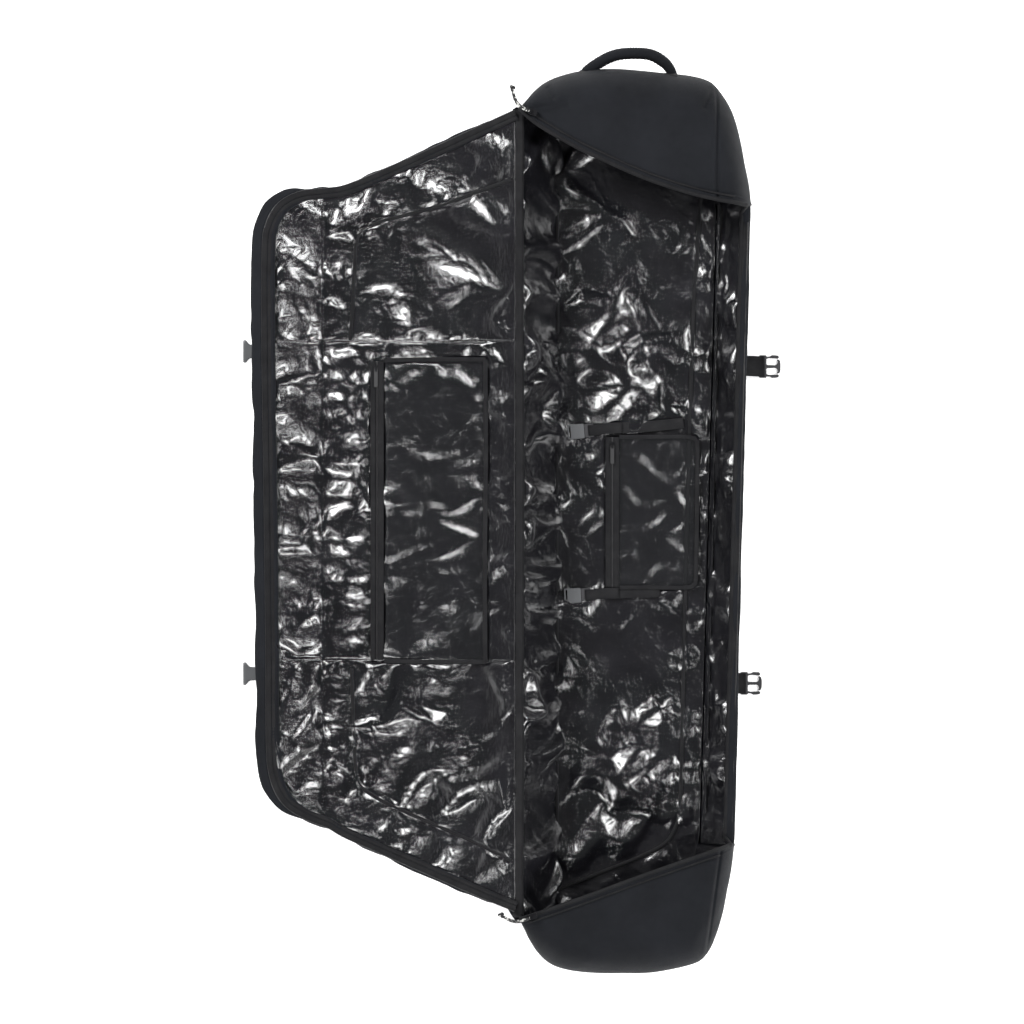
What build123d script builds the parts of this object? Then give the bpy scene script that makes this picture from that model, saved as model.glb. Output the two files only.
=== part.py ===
from build123d import *
import math
import os

# Snowboard bag, lying open on the ground with its lid folded over to the left.
# Millimetres. +Y points to the end with the grab handle, +Z is up.
# The lid's hinge line lies on X = 0 in this working frame. At the end everything is
# moved so that the origin is under the middle of the bounding box.

# ---- driving dimensions -------------------------------------------------------------
HINGE_Z = 148.0  # height of the hinge line
WALL_TOP = 140.0  # left wall, under the hinge binding
RIGHT_TOP = 72.0  # right wall, where the main zip runs
CAP_TOP = 164.0  # flat top of the end caps

SHELL = 2.5  # coated shell fabric
FOAM = 6.0
LINING = 1.5
WALL = SHELL + FOAM + LINING  # a whole padded wall

# The tub's outer outline at several heights:
# (z, left, right at the top end, right at the bottom end, top end, bottom end)
SECTIONS = [
    (0.0, 51.0, 364.0, 332.0, 768.0, 800.0),
    (35.0, 36.5, 398.0, 366.0, 800.0, 832.0),
    (RIGHT_TOP, 21.3, 428.0, 396.0, 820.0, 852.0),
    (120.0, 1.4, 404.0, 372.0, 812.0, 842.0),
    (150.0, -8.0, 380.0, 348.0, 792.0, 820.0),
    (CAP_TOP, 14.0, 352.0, 320.0, 764.0, 792.0),
]
CORNER = 72.0  # rounding of the outline's corners

# The two mouths are upright planes through these points (x, y).
TOP_MOUTH = [(0.0, 742.0), (427.0, 562.0)]
BOTTOM_MOUTH = [(0.0, -749.0), (396.0, -607.0)]
BINDING = 5.0  # width of a bound edge
SEAM_X = 362.0  # seam between a cap's main panel and its side panel
SIDE_SEAM_TILT = 30.0  # how far that seam shifts from the top to the bottom cap

# Lid, in its open position
LID_START = (-12.0, 144.0)  # lining side, beside the hinge
LID_SEAM = (-364.0, 12.0)  # lining side, where the side wall starts
LID_SAG = 22.0
LID_TOP_CORNER = (-325.0, 589.0)
LID_TOP_SEAM_Y = 585.0
LID_TOP_HINGE_Y = 732.0
LID_BOTTOM_CORNER = (-325.0, -603.0)
LID_BOTTOM_SEAM_Y = -588.0
LID_BOTTOM_HINGE_Y = -727.0
SIDE_EDGE = (-462.0, 42.0)  # lining side of the side wall's zip edge
SIDE_OUT = -497.0  # how far the side wall's shell bulges
SIDE_ROUND = 60.0

SLIDER = (14.0, 10.0, 5.0)  # length, width and height of a zip slider

WEB_INNER = 20.0  # inner compression webbing
WEB_OUTER = 38.0  # outer webbing
WEB_THICK = 1.6

GRIP_D = 22.0  # padded grab handle
GRIP_Z = 92.0

parts = {}


# ---- helpers ------------------------------------------------------------------------
def block(x0, x1, y0, y1, z0, z1):
    return Pos((x0 + x1) / 2, (y0 + y1) / 2, (z0 + z1) / 2) * Box(x1 - x0, y1 - y0, z1 - z0)


def prism(points, z0, z1):
    """A plan polygon standing between two heights."""
    face = make_face(Polyline(*points, close=True))
    return Pos(0, 0, z0) * extrude(face, z1 - z0, dir=(0, 0, 1))


def along_y(wire, y0, y1):
    """A closed wire in the XZ plane, drawn out from y0 to y1."""
    return Pos(0, y0, 0) * extrude(make_face(wire), y1 - y0, dir=(0, 1, 0))


def band(path, width, z0, z1):
    """A strip of even width that follows a plan path."""
    left, right = [], []
    last = len(path) - 1
    for i, (x, y) in enumerate(path):
        a = Vector(*path[max(i - 1, 0)])
        b = Vector(*path[min(i + 1, last)])
        run = (b - a).normalized()
        side = Vector(-run.Y, run.X) * (width / 2)
        left.append((x + side.X, y + side.Y))
        right.append((x - side.X, y - side.Y))
    return prism(left + right[::-1], z0, z1)


def solids(shape):
    """The whole shape as one node: its real solids, without crumbs."""
    kept = [s for s in shape.solids() if s.volume > 1.0]
    return kept[0] if len(kept) == 1 else Compound(children=kept)


def group(shapes):
    """Several pieces of one kind as one node of separate solids."""
    return Compound(children=[s for shape in shapes for s in shape.solids() if s.volume > 1.0])


# ---- the tub: loft, layers, mouths --------------------------------------------------
def outline(z, left, right_top, right_bottom, end_top, end_bottom, inset):
    """One level outline of the whole bag, drawn in by inset."""
    le = left + inset
    rt = right_top - 1.25 * inset
    rb = right_bottom - 1.25 * inset
    et = end_top - 1.1 * inset
    eb = end_bottom - 1.1 * inset
    points = [
        (le, et - 80, z),
        (le + 108, et, z),
        (rt - 78, et - 8, z),
        (rt - 26, et - 78, z),
        (rt, 590, z),
        (rb, -612, z),
        (rb - 30, -(eb - 68), z),
        (rb - 88, -eb, z),
        (le + 78, -eb, z),
        (le, -(eb - 98), z),
    ]
    return FilletPolyline(*points, radius=CORNER, close=True)


def tub(inset, low=0.0):
    """The bag's full outer form, drawn in by inset, starting at height low."""
    faces = []
    if low < 0:
        faces.append(make_face(outline(low, *SECTIONS[0][1:], inset)))
    for i, (z, *sizes) in enumerate(SECTIONS):
        drop = inset if i == len(SECTIONS) - 1 else 0.6 * inset if i == len(SECTIONS) - 2 else 0.0
        faces.append(make_face(outline(z - drop, *sizes, inset)))
    return loft(faces, ruled=True)


FAR = 1200.0


def beyond(mouth, shift, sign):
    """Everything past a mouth plane that is moved by shift along Y; sign is the end's."""
    (x0, y0), (x1, y1) = mouth
    slope = (y1 - y0) / (x1 - x0)
    left = (-FAR, y0 + slope * (-FAR - x0) + shift)
    right = (FAR, y0 + slope * (FAR - x0) + shift)
    return prism([left, right, (FAR, sign * 2 * FAR), (-FAR, sign * 2 * FAR)], -20, 400)


def tub_solids():
    """The nested forms that the layers are cut from."""
    return {
        "out": tub(-2.5),
        "shell": tub(0.0),
        "foam": tub(SHELL, -5.0),
        "lining": tub(SHELL + FOAM, -5.0),
        "inside": tub(WALL, -5.0),
    }


def seam_plane_cut(side):
    """The part of space left (-1) or right (+1) of the caps' side seams."""
    top = SEAM_X
    bottom = SEAM_X - SIDE_SEAM_TILT
    far = side * FAR
    return prism([(top, FAR), (bottom, -FAR), (far, -FAR), (far, FAR)], -20, 400)


def make_base(t):
    layer = {
        "shell": t["shell"] - t["foam"],
        "foam": t["foam"] - t["lining"],
        "lining": t["lining"] - t["inside"],
    }
    padded = t["shell"] - t["lining"]
    top_end = beyond(TOP_MOUTH, 0, 1)
    bottom_end = beyond(BOTTOM_MOUTH, 0, -1)
    left_zone = block(-40, 200, -FAR, FAR, 0, WALL_TOP) - top_end - bottom_end
    right_zone = block(200, 480, -FAR, FAR, 0, RIGHT_TOP) - top_end - bottom_end
    zones = {"left": left_zone, "right": right_zone}
    for side, zone in zones.items():
        parts[side + "_wall_shell"] = solids(layer["shell"] & zone)
        parts[side + "_wall_lining"] = solids(layer["lining"] & zone)
    parts["wall_foam"] = group([layer["foam"] & zone for zone in zones.values()])
    for name, end in (("top", top_end), ("bottom", bottom_end)):
        above = end & block(-FAR, FAR, -FAR, FAR, 0, 300)
        parts[name + "_cap_panel"] = solids(padded & above & seam_plane_cut(-1))
        parts[name + "_cap_side_panel"] = solids(padded & above & seam_plane_cut(1))
        parts[name + "_cap_lining"] = solids(layer["lining"] & above)
    heights = [("shell", 0, SHELL), ("foam", SHELL, SHELL + FOAM), ("lining", SHELL + FOAM, WALL)]
    for name, low, high in heights:
        slab = block(-FAR, FAR, -FAR, FAR, low, high)
        parts["floor_" + name] = solids(t["inside"] & slab)


def make_edges(t):
    """Bound edges and the base's half of the main zip."""
    rim = t["shell"] - t["inside"]
    outer = t["out"] - t["shell"]
    above_wall = block(-40, 500, -FAR, FAR, RIGHT_TOP, 300)
    left_wall = block(-40, 200, -FAR, FAR, 0, WALL_TOP)
    hinge_corner = block(-40, 8, -FAR, FAR, 0, HINGE_Z)
    keep = above_wall - left_wall - hinge_corner
    bindings, tapes = [], []
    for mouth, sign in ((TOP_MOUTH, 1), (BOTTOM_MOUTH, -1)):
        edge = beyond(mouth, -sign * BINDING, sign) - beyond(mouth, 0, sign)
        tape = beyond(mouth, -sign * BINDING, sign) - beyond(mouth, sign * 9, sign)
        bindings.append(rim & edge & keep)
        tapes.append(outer & tape & keep)
    caps = beyond(TOP_MOUTH, -BINDING - 0.5, 1) + beyond(BOTTOM_MOUTH, BINDING + 0.5, -1)
    middle = block(200, 500, -FAR, FAR, RIGHT_TOP, RIGHT_TOP + BINDING)
    bindings.append(rim & (middle - caps))
    low = block(200, 500, -FAR, FAR, RIGHT_TOP - 12, RIGHT_TOP + BINDING)
    tapes.append(outer & (low - caps))
    parts["mouth_binding"] = group(bindings)
    parts["base_zip_tape"] = group(tapes)


def make_hinge_binding():
    """The tape that binds the wall's top edge, right under the hinge line."""
    low, high = WALL_TOP, HINGE_Z - 0.5
    corners = [(-8, 0, low), (5.5, 0, low), (5.5, 0, high), (-8, 0, high)]
    wire = FilletPolyline(*corners, radius=2.4, close=True)
    parts["hinge_binding"] = along_y(wire, BOTTOM_MOUTH[0][1] + 6, TOP_MOUTH[0][1] - 6)


# ---- lid ----------------------------------------------------------------------------
def lid_centre():
    """The centre and the radius of the lid's lining in cross-section."""
    (x0, z0), (x1, z1) = LID_START, LID_SEAM
    chord = math.hypot(x1 - x0, z1 - z0)
    radius = (chord**2 / 4 + LID_SAG**2) / (2 * LID_SAG)
    dx, dz = (x1 - x0) / chord, (z1 - z0) / chord
    up = (dz, -dx)
    rise = radius - LID_SAG
    return (x0 + x1) / 2 + up[0] * rise, (z0 + z1) / 2 + up[1] * rise, radius


CX, CZ, LID_R = lid_centre()


def lid_point(x, depth):
    """The point of the lid's section at x, depth below the lining's face."""
    r = LID_R + depth
    return (x, 0, CZ - math.sqrt(r * r - (x - CX) ** 2))


def lid_layer(near, far, x0=LID_START[0], x1=LID_SEAM[0]):
    """A curved slab of the lid between two depths, cut square at x0 and x1."""
    xm = (x0 + x1) / 2
    inner = ThreePointArc(lid_point(x0, near), lid_point(xm, near), lid_point(x1, near))
    outer = ThreePointArc(lid_point(x1, far), lid_point(xm, far), lid_point(x0, far))
    wire = Wire([inner, Line(inner @ 1, outer @ 0), outer, Line(outer @ 1, inner @ 0)])
    return along_y(wire, -FAR, FAR)


def lid_slope(x):
    """The lining's slope at x, in degrees: positive means rising towards +X."""
    return math.degrees(math.asin((x - CX) / LID_R))


def lid_plan(back=0.0):
    """The lid face's plan, with its two slanting edges drawn in by back."""
    far_x, near_x = LID_SEAM[0] - 1, LID_START[0] + 1
    points = [
        (near_x, LID_TOP_HINGE_Y - 4 - back),
        (LID_TOP_CORNER[0], LID_TOP_CORNER[1] - back),
        (far_x, LID_TOP_SEAM_Y - back),
        (far_x, LID_BOTTOM_SEAM_Y + back),
        (LID_BOTTOM_CORNER[0], LID_BOTTOM_CORNER[1] + back),
        (near_x, LID_BOTTOM_HINGE_Y + 4 + back),
    ]
    return prism(points, -10, 200)


def make_lid():
    plan = lid_plan()
    parts["lid_shell"] = solids(lid_layer(LINING + FOAM, WALL) & plan)
    parts["lid_foam"] = solids(lid_layer(LINING, LINING + FOAM) & plan)
    parts["lid_lining"] = solids(lid_layer(0, LINING) & plan)
    edge = plan - lid_plan(9.0)
    parts["lid_zip_edge"] = solids(lid_layer(-2.5, 0) & edge)


def make_lid_piping():
    top = [(-14, 612), (-146, 566), (-220, 547), (-270, 534), (-296, 518), (-304, 490)]
    top += [(-306, 392), (-313, 318)]
    bottom = [(-310, -290), (-304, -459), (-294, -507), (-262, -530), (-165, -574), (-80, -610)]
    bottom += [(-14, -640)]
    welts = band(top, 6, -10, 200) + band(bottom, 6, -10, 200)
    parts["lid_piping"] = solids(lid_layer(-3.5, 0) & welts)


def make_side_wall():
    """The strip beyond the lid's seam, lying half turned up, its edge bound."""
    x0 = LID_SEAM[0] - 3.0
    ex, ez = SIDE_EDGE
    drop = 1.6
    foot = (x0, 0, 1.5)
    under = (-428.0, 0, 4.5)
    bulge = (SIDE_OUT, 0, 33.0)
    lip = (ex - 5, 0, ez + 3)
    wire = Wire(
        [
            Line(foot, under),
            ThreePointArc(under, (-473.0, 0, 15.0), bulge),
            ThreePointArc(bulge, (-489.0, 0, 43.5), lip),
            Line(lip, (ex, 0, ez - drop)),
            Line((ex, 0, ez - drop), (x0, 0, LID_SEAM[1] - drop)),
            Line((x0, 0, LID_SEAM[1] - drop), foot),
        ]
    )
    plan = side_wall_plan()
    parts["lid_side_shell"] = solids(along_y(wire, -FAR, FAR) & plan)
    top = Polyline(
        (x0, 0, LID_SEAM[1]), (ex, 0, ez), (ex, 0, ez - drop), (x0, 0, LID_SEAM[1] - drop), close=True
    )
    parts["lid_side_lining"] = solids(along_y(top, -FAR, FAR) & plan)
    tape = block(ex - 14, ex - 4, -505, 525, ez + 6.4, ez + 9.2)
    parts["lid_side_zip_tape"] = tape


def side_wall_plan():
    """The side wall's plan, with its two outer corners rounded."""
    y0, y1 = LID_BOTTOM_SEAM_Y + 12, LID_TOP_SEAM_Y
    x0, x1 = LID_SEAM[0], SIDE_OUT - 3
    wire = FilletPolyline((x0, y1), (x1, y1), (x1, y0), (x0, y0), radius=SIDE_ROUND)
    closed = Wire([*wire.edges(), Line((x0, y0), (x0, y1))])
    return Pos(0, 0, -10) * extrude(make_face(closed), 200, dir=(0, 0, 1))


# ---- mesh pockets -------------------------------------------------------------------
LID_MESH = (-249.0, -65.0, -274.0, 279.0)  # x0, x1, y0, y1
LID_TAPE = (-277.0, -249.5)
BASE_MESH = (187.5, 340.0, -138.0, 137.0)
BASE_TAPE = (159.0, 187.0)
MESH = 1.0
POCKET = 3.0  # how far the mesh lies off the lining
HEM = 8.0
BAR_RISE = 1.45  # the pull's pivot above the slider


def make_slider(name, tilt, x, y, z):
    """A pocket's zip slider with its bail, and the pull tab that turns in the bail."""
    length, width, height = SLIDER
    body = Pos(0, 0, height / 2) * Box(width, length, height)
    body = fillet(body.edges().filter_by(Axis.Z), 3.0)
    bail = Pos(0, 0, height + 2.2) * Box(2.0, 7.2, 4.4)
    bail -= Pos(0, 0, height + BAR_RISE) * Box(3.0, 4.0, 2.9)
    place = Pos(x, y, z) * Rot(0, tilt, 0)
    parts[name + "_slider"] = solids(place * (body + bail))
    plate = Pos(0, -17.0, 0) * Box(7.0, 34.0, 1.8)
    plate = fillet(plate.edges().filter_by(Axis.Z), 2.4)
    plate -= Pos(0, -2.5, 0) * Box(3.2, 5.0, 3.0)
    bar = Rot(0, 90, 0) * Cylinder(0.9, 6.0)
    parts[name + "_pull"] = solids(place * Pos(0, 0, height + BAR_RISE) * (plate + bar))


def make_lid_pocket():
    x0, x1, y0, y1 = LID_MESH
    field = block(x0, x1, y0, y1, -10, 200)
    hem = block(x0, x1 - HEM, y0 + HEM, y1 - HEM, -10, 200)
    parts["lid_pocket_mesh"] = solids(lid_layer(-POCKET - MESH, -POCKET) & hem)
    parts["lid_pocket_binding"] = solids(lid_layer(-POCKET - MESH - 0.6, -0.0) & (field - hem))
    tape = block(LID_TAPE[0], LID_TAPE[1], y0, y1, -10, 200)
    parts["lid_pocket_zip_tape"] = solids(lid_layer(-POCKET - MESH, 0) & tape)
    mid = (LID_TAPE[0] + LID_TAPE[1]) / 2
    _, _, z = lid_point(mid, -POCKET - MESH - 0.35)
    make_slider("lid_pocket", -lid_slope(mid), mid, y1 - 14, z)


def make_base_pocket():
    x0, x1, y0, y1 = BASE_MESH
    low = WALL + POCKET
    inner = block(x0, x1 - HEM, y0 + HEM, y1 - HEM, low, low + MESH)
    frame = block(x0, x1, y0, y1, low - 0.6, low + MESH + 0.6)
    frame -= block(x0 - 1, x1 - HEM, y0 + HEM, y1 - HEM, low - 2, low + 3)
    parts["base_pocket_mesh"] = inner
    parts["base_pocket_binding"] = frame
    parts["base_pocket_zip_tape"] = block(BASE_TAPE[0], BASE_TAPE[1], y0, y1, WALL, low + MESH)
    mid = (BASE_TAPE[0] + BASE_TAPE[1]) / 2
    make_slider("base_pocket", 0, mid, y1 - 14, low + MESH + 0.35)


def make_floor_piping():
    path = [(336, 560), (324, 385), (318, 200), (312, 0), (305, -300), (300, -520)]
    path += [(290, -580), (255, -625), (187, -655), (110, -685), (78, -700)]
    parts["floor_piping"] = solids(band(path, 6, WALL, WALL + 2.2))


# ---- inner compression straps -------------------------------------------------------
STRAPS = [
    # name, place of the female buckle's back edge, heading, length of the long webbing
    ("upper", (90.0, 148.0), 4.5, 176.0),
    ("lower", (84.0, -156.0), 3.0, 132.0),
]


def buckle_female(width, length, height, wall):
    """A side-release socket, open towards +X, with a window in each side."""
    body = Pos(length / 2, 0, height / 2) * Box(length, width, height)
    body = fillet(body.edges().filter_by(Axis.Z), 2.5)
    depth = length - 8
    mouth = Pos(length - depth / 2 + 0.5, 0, height / 2)
    body -= mouth * Box(depth + 1, width - 2 * wall, height - 2 * wall)
    body -= Pos(length - 0.45 * depth, 0, height / 2) * Box(0.34 * depth, width + 2, height - 2 * wall)
    bar_slot = Pos(4.2, 0, height / 2) * Box(3.2, width - 5, height + 2)
    return body - bar_slot


def buckle_male(width, length, height, reach):
    """Two sprung arms, a guide tongue and a webbing bar; the arms point to -X."""
    frame = Pos(length / 2, 0, height / 2) * Box(length, width, height)
    frame = fillet(frame.edges().filter_by(Axis.Z), 2.0)
    slot = Pos(length * 0.62, 0, height / 2) * Box(length * 0.42, width - 6, height + 2)
    frame = frame - slot
    arm_y = width / 2 - 5.0
    for side in (-1, 1):
        arm = [(0.5, side * (arm_y + 1.2)), (-0.62 * reach, side * (arm_y + 0.6))]
        arm += [(-reach, side * (arm_y - 2.6)), (-reach + 4, side * (arm_y - 3.6))]
        arm += [(-0.55 * reach, side * (arm_y - 1.6)), (0.5, side * (arm_y - 1.6))]
        frame += prism(arm, 0.4, height - 0.4)
    tongue = Pos(-0.4 * reach + 0.5, 0, height / 2) * Box(0.8 * reach, 3.0, height - 0.8)
    return frame + tongue


def make_straps():
    flat = []
    for name, (x, y), heading, run in STRAPS:
        place = Pos(x, y, WALL) * Rot(0, 0, heading)
        stub = block(-20, 3.0, -WEB_INNER / 2, WEB_INNER / 2, 0, WEB_THICK)
        flat.append(place * stub)
        lift = WEB_THICK + 0.4
        female = Pos(0, 0, lift) * buckle_female(27, 31, 8.4, 1.5)
        parts[name + "_strap_female"] = place * female
        male = Pos(31.6, 0, lift + 1.9) * buckle_male(25, 17, 4.6, 20)
        parts[name + "_strap_male"] = solids(place * male)
        tail = block(38.6, 38.6 + 62, -WEB_INNER / 2, WEB_INNER / 2, lift + 7.0, lift + 8.6)
        loop = block(40.4, 42.0, -9, 9, lift + 2.3, lift + 7.0)
        parts[name + "_strap_tail"] = place * (tail + loop)
        long = block(40, 40 + run, -WEB_INNER / 2, WEB_INNER / 2, 0, WEB_THICK)
        flat.append(place * long)
    parts["strap_webbing"] = group(flat)


# ---- outer straps -------------------------------------------------------------------
MALES = [("upper", 270.0, 1.0), ("lower", -318.0, 0.0)]  # name, y, share of free webbing
FEMALES = [("upper", 298.0), ("lower", -300.0)]
MALE_ROOT_Z = 30.0


def right_edge(y):
    """The right wall's outer face at the anchors' height."""
    _, _, top, bottom, _, _ = SECTIONS[1]
    return top + (bottom - top) * (590 - y) / 1202.0


def make_outer_males():
    for name, y, free in MALES:
        x = right_edge(y) + 2.5
        reach = 31.0 + 19.0 * free
        half = WEB_OUTER / 2
        top = [(x, 0, MALE_ROOT_Z), (x + reach, 0, 9.0), (x + reach + 14, 0, 8.0)]
        bottom = [(a, 0, c - WEB_THICK) for a, _, c in top[::-1]]
        web = along_y(Polyline(*top, *bottom, close=True), y - half, y + half)
        parts[name + "_male_webbing"] = web
        frame = Pos(0, 0, -2.5) * buckle_male(42, 15, 5.0, 26)
        frame = Pos(x + reach + 17.5, y, 3.7) * Rot(0, 0, 180) * frame
        parts[name + "_male_buckle"] = solids(frame)


def make_outer_females():
    half = WEB_OUTER / 2
    tabs = [block(-476, -434, y - half, y + half, 1.0, 1.0 + WEB_THICK) for _, y in FEMALES]
    parts["female_tabs"] = group(tabs)
    for name, y in FEMALES:
        socket = Rot(0, 0, 180) * buckle_female(42, 33, 10.5, 1.7)
        parts[name + "_female_buckle"] = Pos(-479.0, y, 1.0) * socket


# ---- grab handle --------------------------------------------------------------------
def make_handle():
    """A padded tube in a low arch, with a webbing core."""
    plan = [(127, 831), (152, 843), (186, 849), (228, 849), (256, 843), (280, 830)]
    path = [(x, y, GRIP_Z) for x, y in plan]
    line = FilletPolyline(*path, radius=[38.0, 100.0, 100.0, 38.0])
    ring = Plane(origin=line @ 0, z_dir=line % 0)
    grip = sweep(ring * Circle(GRIP_D / 2), path=line)
    core = sweep(ring * Circle(4.0), path=line)
    parts["handle_grip"] = grip - core
    parts["handle_core"] = core


def make_handle_tabs(t):
    """Webbing patches on the cap that hold the handle's ends."""
    skin = tub(-2.0) - t["shell"]
    patches = []
    for x in (125.0, 278.0):
        zone = block(x - 17, x + 17, 700, 900, GRIP_Z - 22, GRIP_Z + 22)
        patches += (skin & zone).solids()
    parts["handle_tabs"] = Compound(children=patches)


# ---- main zip sliders with their cord pulls ---------------------------------------
CORD_D = 3.2
SLIDER_START = 26.0  # from the hinge corner, along the mouth


def mouth_place(mouth, along):
    """The spot at a distance along a mouth from its hinge corner, and its heading."""
    (x0, y0), (x1, y1) = mouth
    heading = math.degrees(math.atan2(y1 - y0, x1 - x0))
    run = Vector(x1 - x0, y1 - y0).normalized()
    return Vector(x0, y0) + run * along, heading


def make_main_sliders():
    for name, mouth, sign in (("top", TOP_MOUTH, 1), ("bottom", BOTTOM_MOUTH, -1)):
        spot, heading = mouth_place(mouth, SLIDER_START)
        length, width, height = 16.0, 11.0, 5.5
        body = Pos(0, 0, height / 2) * Box(length, width, height)
        body = fillet(body.edges().filter_by(Axis.Z), 3.5)
        eye = Pos(-4.5, 0, height + 2.5) * Box(3.0, 6.4, 6.0)
        eye -= Pos(-4.5, 0, height + 2.0) * Rot(0, 90, 0) * Cylinder(CORD_D / 2, 8)
        place = Pos(spot.X, spot.Y, CAP_TOP + 3.0) * Rot(0, 0, heading) * Pos(0, 3.0 * sign, 0)
        parts[name + "_main_slider"] = solids(place * (body + eye))


# Free cords: the route of each pull, from the slider's eye to its knot.
PULL_ROUTES = {
    "top": [
        (19.5, 737.0, 174.5),
        (9.4, 741.3, 174.5),
        (-1.0, 750.0, 173.0),
        (-8.0, 762.0, 171.5),
        (-11.0, 774.0, 171.5),
    ],
    "bottom": [
        (19.7, -745.1, 174.5),
        (9.4, -748.8, 174.5),
        (-4.0, -751.0, 173.0),
        (-17.0, -749.0, 171.5),
        (-28.0, -743.0, 171.5),
    ],
}


def make_pull_cords():
    for name, route in PULL_ROUTES.items():
        line = FilletPolyline(*route, radius=cord_radii(route))
        ring = Plane(origin=line @ 0, z_dir=line % 0)
        cord = sweep(ring * Circle(CORD_D / 2), path=line)
        parts[name + "_pull_cord"] = cord
        end, way = line @ 1, line % 1
        knot = Plane(origin=end + way * 5.0, z_dir=way) * Cylinder(4.0, 10)
        parts[name + "_pull_knot"] = fillet(knot.edges(), 2.5)


def cord_radii(route):
    """Each arc takes 0.45 of its shorter run."""
    radii = []
    for a, b, c in zip(route, route[1:], route[2:]):
        before, after = Vector(*b) - Vector(*a), Vector(*c) - Vector(*b)
        turn = math.radians(before.get_angle(after))
        radii.append(0.45 * min(before.length, after.length) / math.tan(turn / 2))
    return radii


# ---- build --------------------------------------------------------------------------
def main():
    """Make every part, centre them all on the origin, and write them out."""
    t = tub_solids()
    make_base(t)
    make_edges(t)
    make_hinge_binding()
    make_lid()
    make_lid_piping()
    make_side_wall()
    make_lid_pocket()
    make_base_pocket()
    make_floor_piping()
    make_straps()
    make_outer_males()
    make_outer_females()
    make_handle()
    make_handle_tabs(t)
    make_main_sliders()
    make_pull_cords()
    boxes = [shape.bounding_box() for shape in parts.values()]
    low = [min(tuple(b.min)[i] for b in boxes) for i in range(3)]
    high = [max(tuple(b.max)[i] for b in boxes) for i in range(3)]
    shift = (-(low[0] + high[0]) / 2, -(low[1] + high[1]) / 2, -low[2])
    os.makedirs("parts", exist_ok=True)
    for name, shape in parts.items():
        export_step(Pos(*shift) * shape, f"parts/{name}.step")


main()
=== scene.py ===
import math

import bpy
import numpy as np
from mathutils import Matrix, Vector


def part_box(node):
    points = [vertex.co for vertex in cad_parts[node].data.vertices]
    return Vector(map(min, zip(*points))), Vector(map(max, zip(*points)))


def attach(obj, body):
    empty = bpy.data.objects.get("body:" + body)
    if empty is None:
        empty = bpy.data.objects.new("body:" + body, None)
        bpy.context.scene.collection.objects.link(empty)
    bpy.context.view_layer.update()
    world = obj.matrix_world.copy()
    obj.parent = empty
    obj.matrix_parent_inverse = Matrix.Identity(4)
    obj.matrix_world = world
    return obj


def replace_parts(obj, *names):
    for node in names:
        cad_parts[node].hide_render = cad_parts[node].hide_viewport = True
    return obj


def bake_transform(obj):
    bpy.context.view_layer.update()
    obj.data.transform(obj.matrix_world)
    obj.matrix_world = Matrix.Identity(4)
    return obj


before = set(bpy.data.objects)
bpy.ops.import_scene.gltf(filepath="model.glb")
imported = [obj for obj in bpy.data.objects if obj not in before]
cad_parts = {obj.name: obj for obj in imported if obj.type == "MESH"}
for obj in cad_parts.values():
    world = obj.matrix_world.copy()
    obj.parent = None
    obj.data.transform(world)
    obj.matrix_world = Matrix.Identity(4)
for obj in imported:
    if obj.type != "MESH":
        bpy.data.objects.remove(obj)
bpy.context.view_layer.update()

# The part's own drawing frame has the hinge line at X = 0 and is in millimetres.
# The hinge binding's box says where that frame lies in the row frame.
HINGE_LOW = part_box("hinge_binding")[0]
HINGE_LEFT, HINGE_FOOT = 0.008, 0.743  # how far the binding reaches from the drawing frame's origin
SHIFT_X = HINGE_LOW[0] + HINGE_LEFT
SHIFT_Y = HINGE_LOW[1] + HINGE_FOOT
SHIFT = np.array([SHIFT_X, SHIFT_Y, 0])


def at(x, y, z):
    """A point of the drawing frame, in metres in the row frame."""
    return (x / 1000 + SHIFT_X, y / 1000 + SHIFT_Y, z / 1000)


# ---- camera -------------------------------------------------------------------------
VIEW_HEIGHT = 16.0
SENSOR = 36.0
WIDTH_SEEN = 1.894  # metres across the frame, at the height of the bag
BAG_MIDDLE = 0.06
VIEW_X = -13.0  # millimetres left of the hinge


def make_camera():
    data = bpy.data.cameras.new("camera")
    data.sensor_width = SENSOR
    data.lens = SENSOR * (VIEW_HEIGHT - BAG_MIDDLE) / WIDTH_SEEN
    cam = bpy.data.objects.new("camera", data)
    cam.location = Vector(at(VIEW_X, 0.0, 0.0)) + Vector((0, 0, VIEW_HEIGHT))
    bpy.context.collection.objects.link(cam)
    bpy.context.scene.camera = cam


make_camera()


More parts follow.
